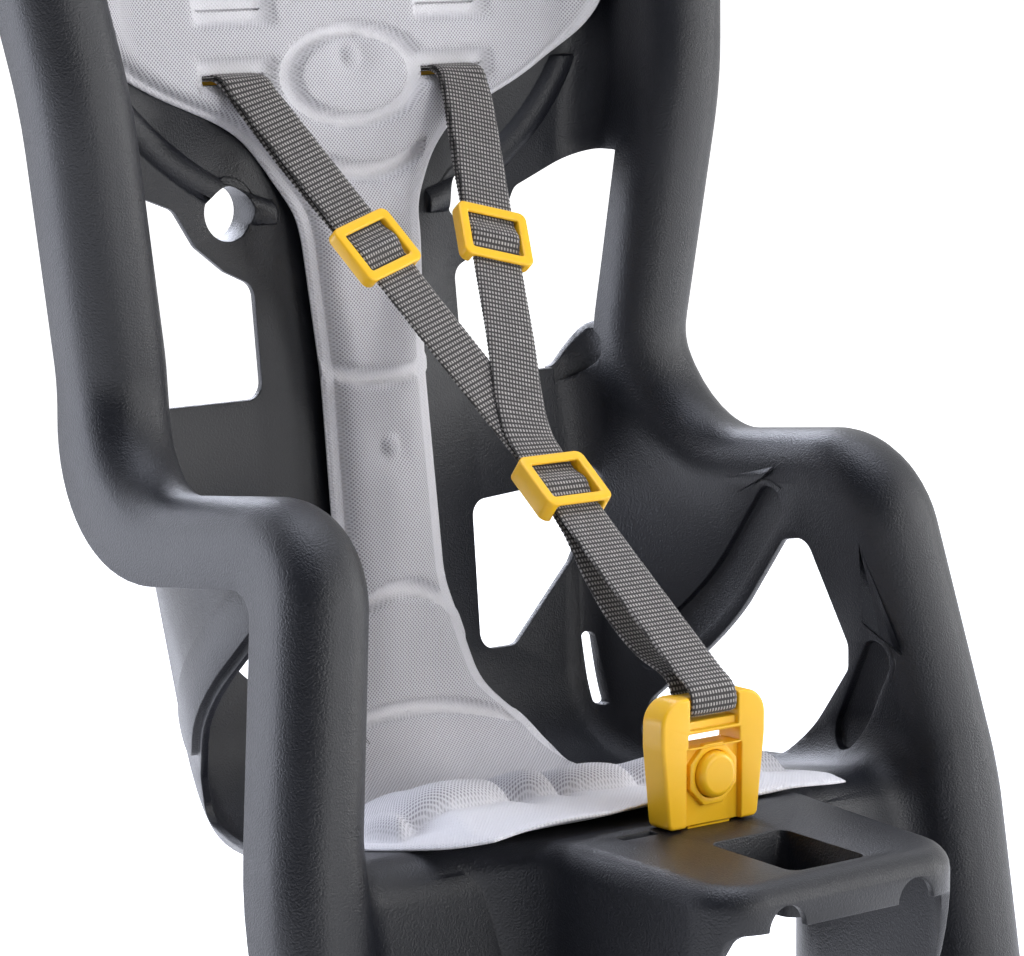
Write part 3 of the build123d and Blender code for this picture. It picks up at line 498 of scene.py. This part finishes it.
def plated_steel(name, tint):
    """Zinc plated steel with a cloudy gloss."""
    finish = Finish(name, tint, roughness=0.3)
    finish.shader.inputs["Metallic"].default_value = 1.0
    plating, cloud = finish.clouded(0.006, 4.0, tint, 0.8, 1.0)
    fine = finish.noise(0.0005)
    finish.link(plating, "Base Color")
    finish.link(finish.ramp(cloud, 0.3, 0.7, 0.24, 0.42), "Roughness")
    finish.link(finish.bump(fine, 0.00003), "Normal")
    return finish.material


# Meshes


def new_piece(name, mesh, material, body=None):
    """Object for a finished mesh, with its material and the body it rides on."""
    piece = bpy.data.objects.new(name, mesh)
    bpy.context.scene.collection.objects.link(piece)
    mesh.materials.clear()
    mesh.materials.append(material)
    if body is not None:
        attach(piece, body)
    return piece


def eased_copy(node, rounding, steps):
    """Copy of a solid's mesh with its sharp edges rounded and its faces smooth."""
    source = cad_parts[node]
    made = bmesh.new()
    made.from_mesh(source.data)
    bmesh.ops.remove_doubles(made, verts=made.verts, dist=WELD)
    bmesh.ops.dissolve_limit(
        made, angle_limit=FLAT_ANGLE, verts=made.verts, edges=made.edges, delimit=set()
    )
    joined = [edge for edge in made.edges if len(edge.link_faces) == 2]
    corners = [edge for edge in joined if edge.calc_face_angle() > SHARP_ANGLE]
    if rounding:
        bmesh.ops.bevel(
            made, geom=corners, offset=rounding, offset_type="OFFSET", segments=steps, profile=0.5,
            affect="EDGES", clamp_overlap=False, miter_outer="ARC",
        )
    bmesh.ops.triangulate(made, faces=[f for f in made.faces if len(f.verts) > 4])
    mesh = bpy.data.meshes.new(node + "_dressed")
    made.to_mesh(mesh)
    made.free()
    mesh.shade_smooth()
    mesh.set_sharp_from_angle(angle=SHARP_ANGLE)
    return mesh


def dressed(node, body, material, rounding, steps=2):
    """Piece that stands for a rigid solid, with eased edges and a finish."""
    piece = new_piece("dressed_" + node, eased_copy(node, rounding, steps), material, body)
    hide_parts(node)


def grid_solid(name, top, bottom, across, along):
    """Closed mesh between two grids of points, with a UV map in metres."""
    rows, columns = top.shape[:2]
    count = rows * columns
    points = np.concatenate([top.reshape(-1, 3), bottom.reshape(-1, 3)])
    flat = np.concatenate([np.stack([across, along], -1).reshape(-1, 2)] * 2)
    index = np.arange(count).reshape(rows, columns)
    quads = np.stack([index[:-1, :-1], index[:-1, 1:], index[1:, 1:], index[1:, :-1]], -1)
    quads = quads.reshape(-1, 4)
    ring = np.concatenate([index[0, :-1], index[:-1, -1], index[-1, :0:-1], index[:0:-1, 0]])
    after = np.roll(ring, -1)
    walls = np.stack([after, ring, ring + count, after + count], -1)
    faces = np.concatenate([quads, quads[:, ::-1] + count, walls])
    mesh = bpy.data.meshes.new(name)
    mesh.from_pydata(points.tolist(), [], faces.tolist())
    layer = mesh.uv_layers.new(name="metres")
    corners = np.zeros(len(mesh.loops), np.int32)
    mesh.loops.foreach_get("vertex_index", corners)
    layer.data.foreach_set("uv", flat[corners].astype(np.float32).ravel())
    made = bmesh.new()
    made.from_mesh(mesh)
    bmesh.ops.recalc_face_normals(made, faces=made.faces)
    made.to_mesh(mesh)
    made.free()
    mesh.shade_smooth()
    return mesh


def eased_step(value, start, end):
    """Smooth step from 0 at start to 1 at end."""
    share = np.clip((value - start) / (end - start), 0, 1)
    return share * share * (3 - 2 * share)


# Pad


def spine_frame(s):
    """Points and normals, in the side view, of the line that the pad lies on, from its top down."""
    down = Vector((-RECLINE, -1)).normalized()
    forward = (PAN_FRONT - BACK_FOOT).normalized()
    turn = down.angle(forward)
    tangent = CORNER_ROUND * math.tan(turn / 2)
    top = BACK_FOOT + Vector((RECLINE, 1)) * (PAD_TOP - BACK_FOOT.y)
    straight = (top - BACK_FOOT).length - tangent
    arc = CORNER_ROUND * turn
    normal_down = Vector((down.y, -down.x))
    normal_pan = Vector((forward.y, -forward.x))
    normal_pan = -normal_pan if normal_pan.y < 0 else normal_pan
    normal_down = -normal_down if normal_down.x > 0 else normal_down
    centre = BACK_FOOT - down * tangent + normal_down * CORNER_ROUND
    angle = np.clip((s - straight) / CORNER_ROUND, 0, turn)
    lean = math.atan2(-normal_down.y, -normal_down.x)
    out = np.stack([np.cos(lean - angle), np.sin(lean - angle)], -1)
    bend = np.array(centre) + CORNER_ROUND * out
    before = np.minimum(s - straight, 0)[..., None] * np.array(down)
    after = np.maximum(s - straight - arc, 0)[..., None] * np.array(forward)
    return bend + before + after, -out


def spine_length():
    """Length of the pad's line, and where its corner starts and ends."""
    down = Vector((-RECLINE, -1)).normalized()
    forward = (PAN_FRONT - BACK_FOOT).normalized()
    turn = down.angle(forward)
    tangent = CORNER_ROUND * math.tan(turn / 2)
    straight = (PAD_TOP - BACK_FOOT.y) * math.hypot(RECLINE, 1) - tangent
    arc = CORNER_ROUND * turn
    seat = (BACK_FOOT.x - PAD_FRONT) / -forward.x - tangent
    return straight + arc + seat, straight, straight + arc


def at_height(z):
    """Distance down the pad's line of a height on the back."""
    return (PAD_TOP - z) * math.hypot(RECLINE, 1)


def pad_half_width(s):
    """Half widths of the pad by the distance down its line."""
    total, bend, seat = spine_length()
    knots = [(0.0, HEAD_TOP_HALF)]
    knots += [(at_height(z), half) for z, half in BACK_HALVES]
    knots += [(bend + past, half) for past, half in CORNER_HALVES]
    knots += [(seat + past, half) for past, half in SEAT_HALVES]
    knots += [(total - short, half) for short, half in FRONT_HALVES]
    where, half = np.array(knots).T
    fine = np.linspace(0, total, OUTLINE_STEPS)
    wide = np.pad(np.interp(fine, where, half), OUTLINE_BLUR, mode="edge")
    window = np.hanning(2 * OUTLINE_BLUR + 1)
    smooth = np.convolve(wide, window / window.sum(), mode="valid")
    return np.interp(s, fine, smooth)


def pressed(distance):
    """1 on a pressed line and 0 beside it."""
    return 1 - eased_step(distance, LINE_HALF, LINE_HALF + LINE_SOFT)


def pressed_marks(x, s):
    """1 on the pad's pressed ring, bands and slot frames, and 0 away from them."""
    ring_x, ring_z = RING_AT
    ring_wide, ring_high = RING_HALVES
    ring = np.hypot((x - ring_x) / ring_wide, (s - at_height(ring_z)) / ring_high)
    mark = pressed(np.abs(ring - 1) * RING_SCALE)
    for height, bow, middle, end_middle, end_half, fade in BANDS:
        distance = np.abs(s - at_height(height + bow * (x - middle) ** 2))
        past_end = np.maximum(np.abs(x - end_middle) - end_half, 0)
        mark = np.maximum(mark, pressed(distance + fade * past_end))
    frame_wide, frame_high = SLOT_FRAME
    for row in SLOT_ROWS:
        for side in (-1, 1):
            beside = np.abs(x - side * SLOT_X) - frame_wide
            above = np.abs(s - at_height(row)) - frame_high
            mark = np.maximum(mark, 1 - eased_step(np.maximum(beside, above), 0.0, SLOT_FRAME_SOFT))
    return mark


def pad_height(x, s, edge, look):
    """Height of the pad's face above its back, and how far it is pressed flat there."""
    total, _, seat = spine_length()
    front = total - s
    inside = front - FLANGE
    seat_low, seat_high = SEAT_START
    on_seat = eased_step(s, seat + seat_low, seat + seat_high)
    along_lobe = np.interp(x, LOBE_CUSPS, range(len(LOBE_CUSPS))) % 1
    lobes = np.sin(math.pi * along_lobe) ** LOBE_SHAPE
    border = np.minimum(edge, np.minimum(s, inside + LOBE_BULGE * lobes))
    rounding = np.clip((border - look.welt_width) / FOAM_ROUND, 0, 1)
    puffed = np.sqrt(1 - (1 - rounding) ** 2)
    high = look.welt + (look.foam - look.welt) * puffed
    rim = eased_step(np.minimum(edge, np.minimum(s, front)), *RIM_EASE)
    high = high * (RIM_DROP + (1 - RIM_DROP) * rim)
    mark = pressed_marks(x, s)
    high = high - (high - look.welt * PRESSED_LEVEL) * mark * PRESSED_SHARE
    for place, depth, reach in DIMPLES:
        apart = np.hypot(x - DIMPLE_X, s - at_height(place))
        high = high - depth * np.exp(-((apart / reach) ** 2) * DIMPLE_FALL)
        high = high + depth * STUD_SHARE * np.exp(-((apart / STUD_RADIUS) ** 4))
    puff = np.clip(SEAT_PUFF - SEAT_PUFF_SLOPE * x, *SEAT_PUFF_LIMITS)
    from_rim = np.minimum(edge * SEAT_SIDE_RISE, front)
    high = high + puff * on_seat * eased_step(from_rim, 0.0, SEAT_PUFF_REACH)
    near_front = np.exp(-(((inside - LOBE_MIDDLE) / LOBE_REACH) ** 2))
    high = high + LOBE_PUFF * lobes * puffed * on_seat * near_front
    for cusp, behind, depth in PUCKERS:
        apart = ((x - cusp) / PUCKER_HALF) ** 2 + ((inside - behind) / PUCKER_REACH) ** 2
        high = high - depth * np.exp(-apart)
    welted = 1 - eased_step(border, look.welt_width * FLAT_START, look.welt_width + FLAT_FADE)
    return np.maximum(high, look.welt * LEAST_LEVEL), np.maximum(mark, welted)


def head_wrap(across, s):
    """Place across, reach forward and slope of the pad's sheet, whose head bends at the wings."""
    out = np.where(s < at_height(HEAD_FOOT), np.maximum(np.abs(across) - HEAD_BEND, 0), 0)
    turn = np.minimum(out / HEAD_BEND_ROUND, HEAD_BEND_ANGLE)
    beyond = np.maximum(out - HEAD_BEND_ROUND * HEAD_BEND_ANGLE, 0)
    drawn_in = out - HEAD_BEND_ROUND * np.sin(turn) - beyond * math.cos(HEAD_BEND_ANGLE)
    forward = HEAD_BEND_ROUND * (1 - np.cos(turn)) + beyond * math.sin(HEAD_BEND_ANGLE)
    return across - np.sign(across) * drawn_in, forward, np.sign(across) * turn


def waves(place, *rows):
    """Sum of sine waves, each given by its height, turns and phase."""
    return sum(height * np.sin(place * turns + phase) for height, turns, phase in rows)


def build_pad(look):
    """Mesh of the pressed pad on the back, the wings and the pan."""
    total, bend, _ = spine_length()
    ends = np.array(EDGE_ROWS)
    inner = np.linspace(ROWS_START, total - ROWS_START, PAD_ROWS)
    rows = np.concatenate([ends, inner, total - ends[::-1]])
    even = np.linspace(-1, 1, PAD_COLUMNS)
    fine = even - COLUMNS_SHIFT * np.sin(2 * math.pi * even)
    sides = np.array(EDGE_COLUMNS)
    columns = np.concatenate([-sides[::-1], fine[1:-1] * COLUMNS_REACH, sides])
    s, u = np.meshgrid(rows, columns, indexing="ij")
    round_top = np.sqrt(np.maximum(HEAD_CORNER**2 - (HEAD_CORNER - s) ** 2, 0)) - HEAD_CORNER
    half = pad_half_width(s) + np.where(s < HEAD_CORNER, round_top, 0) * HEAD_CORNER_SHARE
    across = u * half
    edge = (1 - np.abs(u)) * half
    lip = np.clip((s - (total - LIP_REACH)) / LIP_REACH, 0, 1)
    s_bent = s + lip**3 * (waves(across, *LIP_WAVES) + LIP_LENGTH)
    high, flat = pad_height(across, s, edge, look)
    turns_across, turns_along = SWELL_TURNS
    swell = SWELL * np.sin(across * turns_across + s * turns_along)
    high = high + swell * eased_step(edge, *SWELL_ENDS)
    bowed = LIP_BOW * (1 - eased_step(np.abs(across + LIP_BOW_AT), *LIP_BOW_ENDS))
    curled = waves(across, LIP_CURL) - LIP_DROP * eased_step(across, *LIP_DROP_ENDS)
    strip_top, strip_full, strip_foot = (at_height(z) for z in STRIP_ENDS)
    strip = eased_step(s, strip_top, strip_full) * (1 - eased_step(s, strip_foot, bend))
    lift = lip**4 * (LIP_LIFT + bowed + curled) + STRIP_LIFT * strip
    line, normal = spine_frame(s_bent)
    x, forward, turn = head_wrap(across, s)

    def lifted(height):
        side = line + normal * (forward + height * np.cos(turn))[..., None]
        return np.stack([x - height * np.sin(turn), side[..., 0], side[..., 1]], -1)

    mesh = grid_solid("pad", lifted(lift + PAD_GAP + high), lifted(lift + PAD_GAP), across, s)
    layer = mesh.attributes.new("pressed", "FLOAT", "POINT")
    layer.data.foreach_set("value", np.tile(flat.ravel(), 2).astype(np.float32))
    return mesh


def slot_cutter():
    """Blocks at the open strap slots and the blind slits above them, to cut the pad with."""
    made = bmesh.new()
    low, high = SLOT_ROWS
    cuts = ((low, SLOT_DROP, SLOT_GAP, SLOT_BEHIND), (high, 0.0, SLIT_GAP, -SLIT_FLOOR))
    for row, drop, gap, reach in cuts:
        rear = BACK_FOOT.x + RECLINE * (row - BACK_FOOT.y) + reach
        for side in (-1, 1):
            middle = Matrix.Translation((side * SLOT_X, rear - SLOT_DEPTH / 2, row - drop))
            place = middle @ Matrix.Diagonal((SLOT_LENGTH, SLOT_DEPTH, gap, 1))
            bmesh.ops.create_cube(made, size=1, matrix=place)
    mesh = bpy.data.meshes.new("slot_cutter")
    made.to_mesh(mesh)
    made.free()
    cutter = bpy.data.objects.new("slot_cutter", mesh)
    bpy.context.scene.collection.objects.link(cutter)
    return cutter


def applied(piece):
    """Bakes a piece's modifiers into its mesh."""
    depsgraph = bpy.context.evaluated_depsgraph_get()
    mesh = bpy.data.meshes.new_from_object(
        piece.evaluated_get(depsgraph), preserve_all_data_layers=True, depsgraph=depsgraph
    )
    piece.modifiers.clear()
    piece.data = mesh


# Webbing


def smooth_route(points, step):
    """Evenly spaced points on a smooth line through the given ones."""
    points = np.array([tuple(p) for p in points])
    padded = np.concatenate([2 * points[:1] - points[1:2], points, 2 * points[-1:] - points[-2:-1]])
    pieces = []
    for index in range(1, len(padded) - 2):
        before, start, end, after = padded[index - 1:index + 3]
        t = np.linspace(0, 1, ROUTE_STEPS, endpoint=False)[:, None]
        spans = ((before, start), (start, end), (end, after))
        knots = np.cumsum([0] + [np.linalg.norm(b - a) ** 0.5 for a, b in spans])
        middle = knots[2] - knots[1]
        leave = (end - start) + middle * (
            (start - before) / (knots[1] - knots[0]) - (end - before) / (knots[2] - knots[0])
        )
        arrive = (end - start) + middle * (
            (after - end) / (knots[3] - knots[2]) - (after - start) / (knots[3] - knots[1])
        )
        leaving = (2 * t**3 - 3 * t**2 + 1) * start + (t**3 - 2 * t**2 + t) * leave
        pieces.append(leaving + (-2 * t**3 + 3 * t**2) * end + (t**3 - t**2) * arrive)
    line = np.concatenate(pieces + [points[-1:]])
    run = np.concatenate([[0], np.cumsum(np.linalg.norm(np.diff(line, axis=0), axis=1))])
    even = np.arange(0, run[-1], step)
    return np.stack([np.interp(even, run, line[:, axis]) for axis in range(3)], -1), even


def webbing_strip(name, points, look, bars=()):
    """Ribbed webbing along a route, flat across the seat's width, that bulges over the given bars."""
    line, run = smooth_route(points, look.rib / STEPS_PER_RIB)
    heading = np.gradient(line, axis=0)
    heading /= np.linalg.norm(heading, axis=1)[:, None]
    side = np.array([1.0, 0, 0]) - heading * heading[:, :1]
    side /= np.linalg.norm(side, axis=1)[:, None]
    face = np.cross(heading, side)
    for bar in bars:
        apart = np.minimum(np.linalg.norm(line - np.array(bar), axis=1) / BAR_REACH, 1)
        bulge = BAR_BULGE / 2 * (1 + np.cos(math.pi * apart)) * np.where(face[:, 1] > 0, -1, 1)
        line = line + face * bulge[:, None]
    half = look.width / 2
    across = np.linspace(-1, 1, STRIP_COLUMNS)
    rib = np.cos(run / look.rib * 2 * math.pi)
    scallop = 1 + EDGE_SCALLOP * rib
    x = across[None, :] * half * scallop[:, None]
    crown = look.thickness / 2 * (1 - EDGE_THINNING * across[None, :] ** 8)
    crown = crown - RIB_RELIEF * (1 + rib[:, None]) / 2
    middle = line[:, None, :] + side[:, None, :] * x[..., None]
    top = middle + face[:, None, :] * crown[..., None]
    bottom = middle - face[:, None, :] * crown[..., None]
    return grid_solid(name, top, bottom, x, np.repeat(run[:, None], len(across), 1))


def lower_run():
    """Direction of the harness from the join to the buckle, and the direction off the pad there."""
    down = (Vector((0, BUCKLE_Y, BAR_TOP + BAR_AIM)) - WEB_JOIN).normalized()
    return down, Vector((0, down.z, -down.y))


def slack_run(side):
    """Slot's place on the back, start of a strap's free run before it, and the run to the join."""
    slot_y = BACK_FOOT.x + RECLINE * (SLOT_ROWS[0] - BACK_FOOT.y)
    before, below = SLACK_START
    start = Vector((side * SLOT_X, slot_y - before, SLOT_ROWS[0] - below))
    return slot_y, start, WEB_JOIN + lower_run()[1] * (PASS_GAP * side) - start


def strap_route(side):
    """Centre points of one half of the harness, from behind the back down to the join."""
    slot_y, start, slack = slack_run(side)
    through = [Vector((side * SLOT_X, slot_y + past, SLOT_ROWS[0])) for past in STRAP_AT_SLOT]
    free = [start + slack * share for share in STRAP_SHARES]
    return through + free + [start + slack + lower_run()[0] * STRAP_PAST_JOIN]


def tail_route(side):
    """Centre points of a strap's second layer, from its slot to its slide, behind the first."""
    slot_y, start, slack = slack_run(side)
    behind = Vector((0, -slack.z, slack.y)).normalized() * LAYER_GAP
    through = [
        Vector((side * SLOT_X, slot_y + past, SLOT_ROWS[0] - drop)) for past, drop in TAIL_AT_SLOT
    ]
    return through + [start + slack * share + behind * part for share, part in TAIL_SHARES]


def harness_route():
    """Centre points of the whole strap: right slot, buckle, left slot."""
    out = lower_run()[1]
    loop = [Vector((0, BUCKLE_Y + y, BAR_TOP + z)) for y, z in BAR_LOOP]
    loop[0] += out * PASS_GAP
    loop[-1] -= out * PASS_GAP
    back = strap_route(-1)
    bow = [loop[-1].lerp(back[-1], share) - out * LAYER_BOW * part for share, part in LAYER_BOW_SHAPE]
    return strap_route(1) + loop + bow + list(reversed(back))


def harness_mesh(look):
    """The harness strap with the second layers behind its upper runs, as one mesh."""
    down = lower_run()[0]
    bars = [start + slack * GLIDE_SHARE for _, start, slack in (slack_run(1), slack_run(-1))]
    strips = [webbing_strip("strap", harness_route(), look, bars + [WEB_JOIN + down * JOIN_GLIDE])]
    strips += [webbing_strip("tail", tail_route(side), look) for side in (-1, 1)]
    made = bmesh.new()
    for strip in strips:
        made.from_mesh(strip)
        bpy.data.meshes.remove(strip)
    mesh = bpy.data.meshes.new("harness")
    made.to_mesh(mesh)
    made.free()
    return mesh


# Operators


class SEAT_OT_shell(bpy.types.Operator):
    """Dress the moulded shell in grained plastic with eased edges."""

    bl_idname = "bike_seat.shell"
    bl_label = "Moulded shell"

    def execute(self, context):
        look = context.scene.seat_shell_look
        plastic = grained_plastic("shell plastic", look.tint, 0.38, look.grain, look.grain_depth)
        dressed("seat_shell", "seat", plastic, look.edge)
        return {"FINISHED"}


class SEAT_OT_pad(bpy.types.Operator):
    """Build the pressed foam pad in mesh fabric."""

    bl_idname = "bike_seat.pad"
    bl_label = "Pressed pad"

    def execute(self, context):
        look = context.scene.seat_pad_look
        fabric = mesh_fabric("pad mesh", look)
        pad = new_piece("pressed_pad", build_pad(look), fabric)
        cutter = slot_cutter()
        cut = pad.modifiers.new("slots", "BOOLEAN")
        cut.operation, cut.solver, cut.object = "DIFFERENCE", "EXACT", cutter
        applied(pad)
        bpy.data.objects.remove(cutter)
        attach(pad, "seat")
        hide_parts("seat_pad")
        return {"FINISHED"}


class SEAT_OT_harness(bpy.types.Operator):
    """Weave the harness strap through the slots and the buckle."""

    bl_idname = "bike_seat.harness"
    bl_label = "Harness strap"

    def execute(self, context):
        look = context.scene.seat_webbing_look
        weave = woven_webbing("harness webbing", look)
        strap = new_piece("harness_webbing", harness_mesh(look), weave)
        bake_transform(strap)
        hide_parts("harness_strap")
        return {"FINISHED"}


class SEAT_OT_trim(bpy.types.Operator):
    """Dress the slides, the buckle and its button in bright plastic."""

    bl_idname = "bike_seat.trim"
    bl_label = "Slides and buckle"

    def execute(self, context):
        bright = bright_plastic("bright plastic", context.scene.seat_trim_look.bright)
        for node in ("glide_left", "glide_right", "glide_join", "keeper_left", "keeper_right"):
            dressed(node, "seat", bright, rounding=0.0009, steps=3)
        dressed("buckle_body", "buckle", bright, rounding=0.0006, steps=3)
        dressed("buckle_button", "button", bright, rounding=0.0004)
        return {"FINISHED"}


class SEAT_OT_footrests(bpy.types.Operator):
    """Dress both footrests, their locks and their rubber straps."""

    bl_idname = "bike_seat.footrests"
    bl_label = "Footrests"

    def execute(self, context):
        look = context.scene.seat_shell_look
        plastic = grained_plastic("footrest plastic", look.tint, 0.46, look.grain, look.grain_depth)
        rubber = soft_rubber("strap rubber", context.scene.seat_trim_look.rubber)
        for side in ("left", "right"):
            body = side + "_footrest"
            dressed("footrest_" + side, body, plastic, rounding=0.0007)
            dressed("footrest_lock_" + side, body, plastic, rounding=0.0005)
            dressed("foot_strap_" + side, body, rubber, rounding=0.0005)
        return {"FINISHED"}


class SEAT_OT_clamp(bpy.types.Operator):
    """Dress the carrier clamp: base, jaw, bolt, washer, knob and screws."""

    bl_idname = "bike_seat.clamp"
    bl_label = "Carrier clamp"

    def execute(self, context):
        look = context.scene.seat_shell_look
        plastic = grained_plastic("clamp plastic", look.tint, 0.5, look.grain, look.grain_depth)
        steel = plated_steel("plated steel", context.scene.seat_trim_look.steel)
        dressed("clamp_base", "seat", plastic, rounding=0.0008)
        dressed("clamp_jaw", "jaw", plastic, rounding=0.0008)
        dressed("clamp_knob", "knob", plastic, rounding=0.0009)
        dressed("clamp_bolt", "seat", steel, rounding=0.0003)
        dressed("clamp_washer", "jaw", steel, rounding=0.0002)
        dressed("base_screws", "seat", steel, rounding=0.0003)
        return {"FINISHED"}


def soft_box(name, at, aim, size, energy, tint):
    """Area light that faces a point."""
    lamp = bpy.data.lights.new(name, "AREA")
    lamp.shape = "RECTANGLE"
    lamp.size, lamp.size_y = size
    lamp.energy = energy
    lamp.color = tint
    made = bpy.data.objects.new(name, lamp)
    made.location = at
    made.rotation_mode = "QUATERNION"
    made.rotation_quaternion = (Vector(aim) - Vector(at)).to_track_quat("-Z", "Y")
    bpy.context.scene.collection.objects.link(made)


def in_sight(tree):
    """1 for the rays that show the background: from the camera, reflected or passed through."""
    path = tree.nodes.new("ShaderNodeLightPath")
    share = path.outputs["Is Camera Ray"]
    for kind in ("Is Glossy Ray", "Is Transmission Ray"):
        larger = tree.nodes.new("ShaderNodeMath")
        larger.operation = "MAXIMUM"
        tree.links.new(share, larger.inputs[0])
        tree.links.new(path.outputs[kind], larger.inputs[1])
        share = larger.outputs[0]
    return share


class SEAT_OT_stage(bpy.types.Operator):
    """Set the pale floor, the soft studio light and the photograph's camera."""

    bl_idname = "bike_seat.stage"
    bl_label = "Stage"

    def execute(self, context):
        look = context.scene.seat_stage_look
        floor_mesh = bpy.data.meshes.new("floor")
        low = CAD_BOX[0].z - FLOOR_DROP
        turns = ((-1, -1), (1, -1), (1, 1), (-1, 1))
        corners = [(x * FLOOR_REACH, y * FLOOR_REACH, low) for x, y in turns]
        floor_mesh.from_pydata(corners, [], [(0, 1, 2, 3)])
        floor = bpy.data.objects.new("floor", floor_mesh)
        context.scene.collection.objects.link(floor)
        floor_mesh.materials.append(self.floor_material(look))
        self.light_room(context, look)
        middle = (CAD_BOX[0] + CAD_BOX[1]) / 2
        for name, (at, size, tint) in LAMPS.items():
            soft_box(name + " light", at, middle, size, getattr(look, name), tint)
        self.add_camera(context)
        context.scene.view_settings.view_transform = "Standard"
        return {"FINISHED"}

    def floor_material(self, look):
        """Pale floor that glows in view and in reflections, more so further off."""
        finish = Finish("studio floor", look.floor, roughness=0.9)
        away = finish.node("ShaderNodeVectorMath", {"operation": "LENGTH"}, _0=finish.place())
        bright = finish.ramp(away.outputs["Value"], *GLOW_RISE, look.glow, 1.0)
        strength = finish.maths("MULTIPLY", in_sight(finish.tree), bright)
        glow = finish.node("ShaderNodeEmission", Color=WHITE, Strength=strength)
        both = finish.node("ShaderNodeAddShader", _0=finish.shader.outputs[0], _1=glow.outputs[0])
        finish.tree.links.new(both.outputs[0], finish.tree.nodes["Material Output"].inputs["Surface"])
        return finish.material

    def light_room(self, context, look):
        """White room in view; reflections show it white behind the seat and dim before it."""
        world = bpy.data.worlds.new("studio")
        context.scene.world = world
        world.use_nodes = True
        tree = world.node_tree
        plain = tree.nodes["Background"]
        plain.inputs["Color"].default_value = WHITE
        plain.inputs["Strength"].default_value = look.daylight
        facing = tree.nodes.new("ShaderNodeVectorMath")
        facing.operation = "DOT_PRODUCT"
        facing.inputs[1].default_value = (-math.sin(BACKDROP_AZIMUTH), math.cos(BACKDROP_AZIMUTH), 0)
        tree.links.new(tree.nodes.new("ShaderNodeTexCoord").outputs["Generated"], facing.inputs[0])
        backdrop = tree.nodes.new("ShaderNodeMapRange")
        limits = (*BACKDROP_EDGE, look.room, 1.0)
        for socket, value in zip(("From Min", "From Max", "To Min", "To Max"), limits):
            backdrop.inputs[socket].default_value = value
        tree.links.new(facing.outputs["Value"], backdrop.inputs["Value"])
        path = tree.nodes.new("ShaderNodeLightPath")
        bright = tree.nodes.new("ShaderNodeMath")
        bright.operation = "MAXIMUM"
        tree.links.new(backdrop.outputs[0], bright.inputs[0])
        tree.links.new(path.outputs["Is Camera Ray"], bright.inputs[1])
        white = tree.nodes.new("ShaderNodeBackground")
        white.inputs["Color"].default_value = WHITE
        tree.links.new(bright.outputs[0], white.inputs["Strength"])
        pick = tree.nodes.new("ShaderNodeMixShader")
        tree.links.new(in_sight(tree), pick.inputs[0])
        tree.links.new(plain.outputs[0], pick.inputs[1])
        tree.links.new(white.outputs[0], pick.inputs[2])
        tree.links.new(pick.outputs[0], tree.nodes["World Output"].inputs["Surface"])

    def add_camera(self, context):
        """Camera at the photograph's place and angle."""
        lens = bpy.data.cameras.new("photo camera")
        lens.sensor_width = 36.0
        lens.lens = FOCAL_PIXELS / PICTURE_WIDTH * lens.sensor_width
        lens.clip_end = 100
        camera = bpy.data.objects.new("photo camera", lens)
        context.scene.collection.objects.link(camera)
        a, e = CAMERA_AZIMUTH, CAMERA_ELEVATION
        back = Vector((math.sin(a) * math.cos(e), -math.cos(a) * math.cos(e), math.sin(e)))
        camera.location = CAMERA_AT
        camera.rotation_mode = "QUATERNION"
        camera.rotation_quaternion = (-back).to_track_quat("-Z", "Y")
        context.scene.camera = camera


class SEAT_PT_panel(bpy.types.Panel):
    """Sidebar list of the seat's pieces."""

    bl_idname = "SEAT_PT_panel"
    bl_label = "Bike seat"
    bl_space_type = "VIEW_3D"
    bl_region_type = "UI"
    bl_category = "Bike seat"

    def draw(self, context):
        for operator in OPERATORS:
            self.layout.operator(operator.bl_idname)
        for name in LOOKS:
            look = getattr(context.scene, name)
            for key in look.__annotations__:
                self.layout.prop(look, key)


OPERATORS = [
    SEAT_OT_shell, SEAT_OT_pad, SEAT_OT_harness, SEAT_OT_trim, SEAT_OT_footrests, SEAT_OT_clamp,
    SEAT_OT_stage,
]


def register():
    for made in list(LOOKS.values()) + OPERATORS + [SEAT_PT_panel]:
        bpy.utils.register_class(made)
    for name, look in LOOKS.items():
        setattr(bpy.types.Scene, name, PointerProperty(type=look))


def unregister():
    for name in LOOKS:
        delattr(bpy.types.Scene, name)
    for made in reversed(list(LOOKS.values()) + OPERATORS + [SEAT_PT_panel]):
        bpy.utils.unregister_class(made)


def main():
    register()
    bpy.ops.bike_seat.shell()
    bpy.ops.bike_seat.pad()
    bpy.ops.bike_seat.harness()
    bpy.ops.bike_seat.trim()
    bpy.ops.bike_seat.footrests()
    bpy.ops.bike_seat.clamp()
    bpy.ops.bike_seat.stage()


if __name__ == "__main__":
    main()
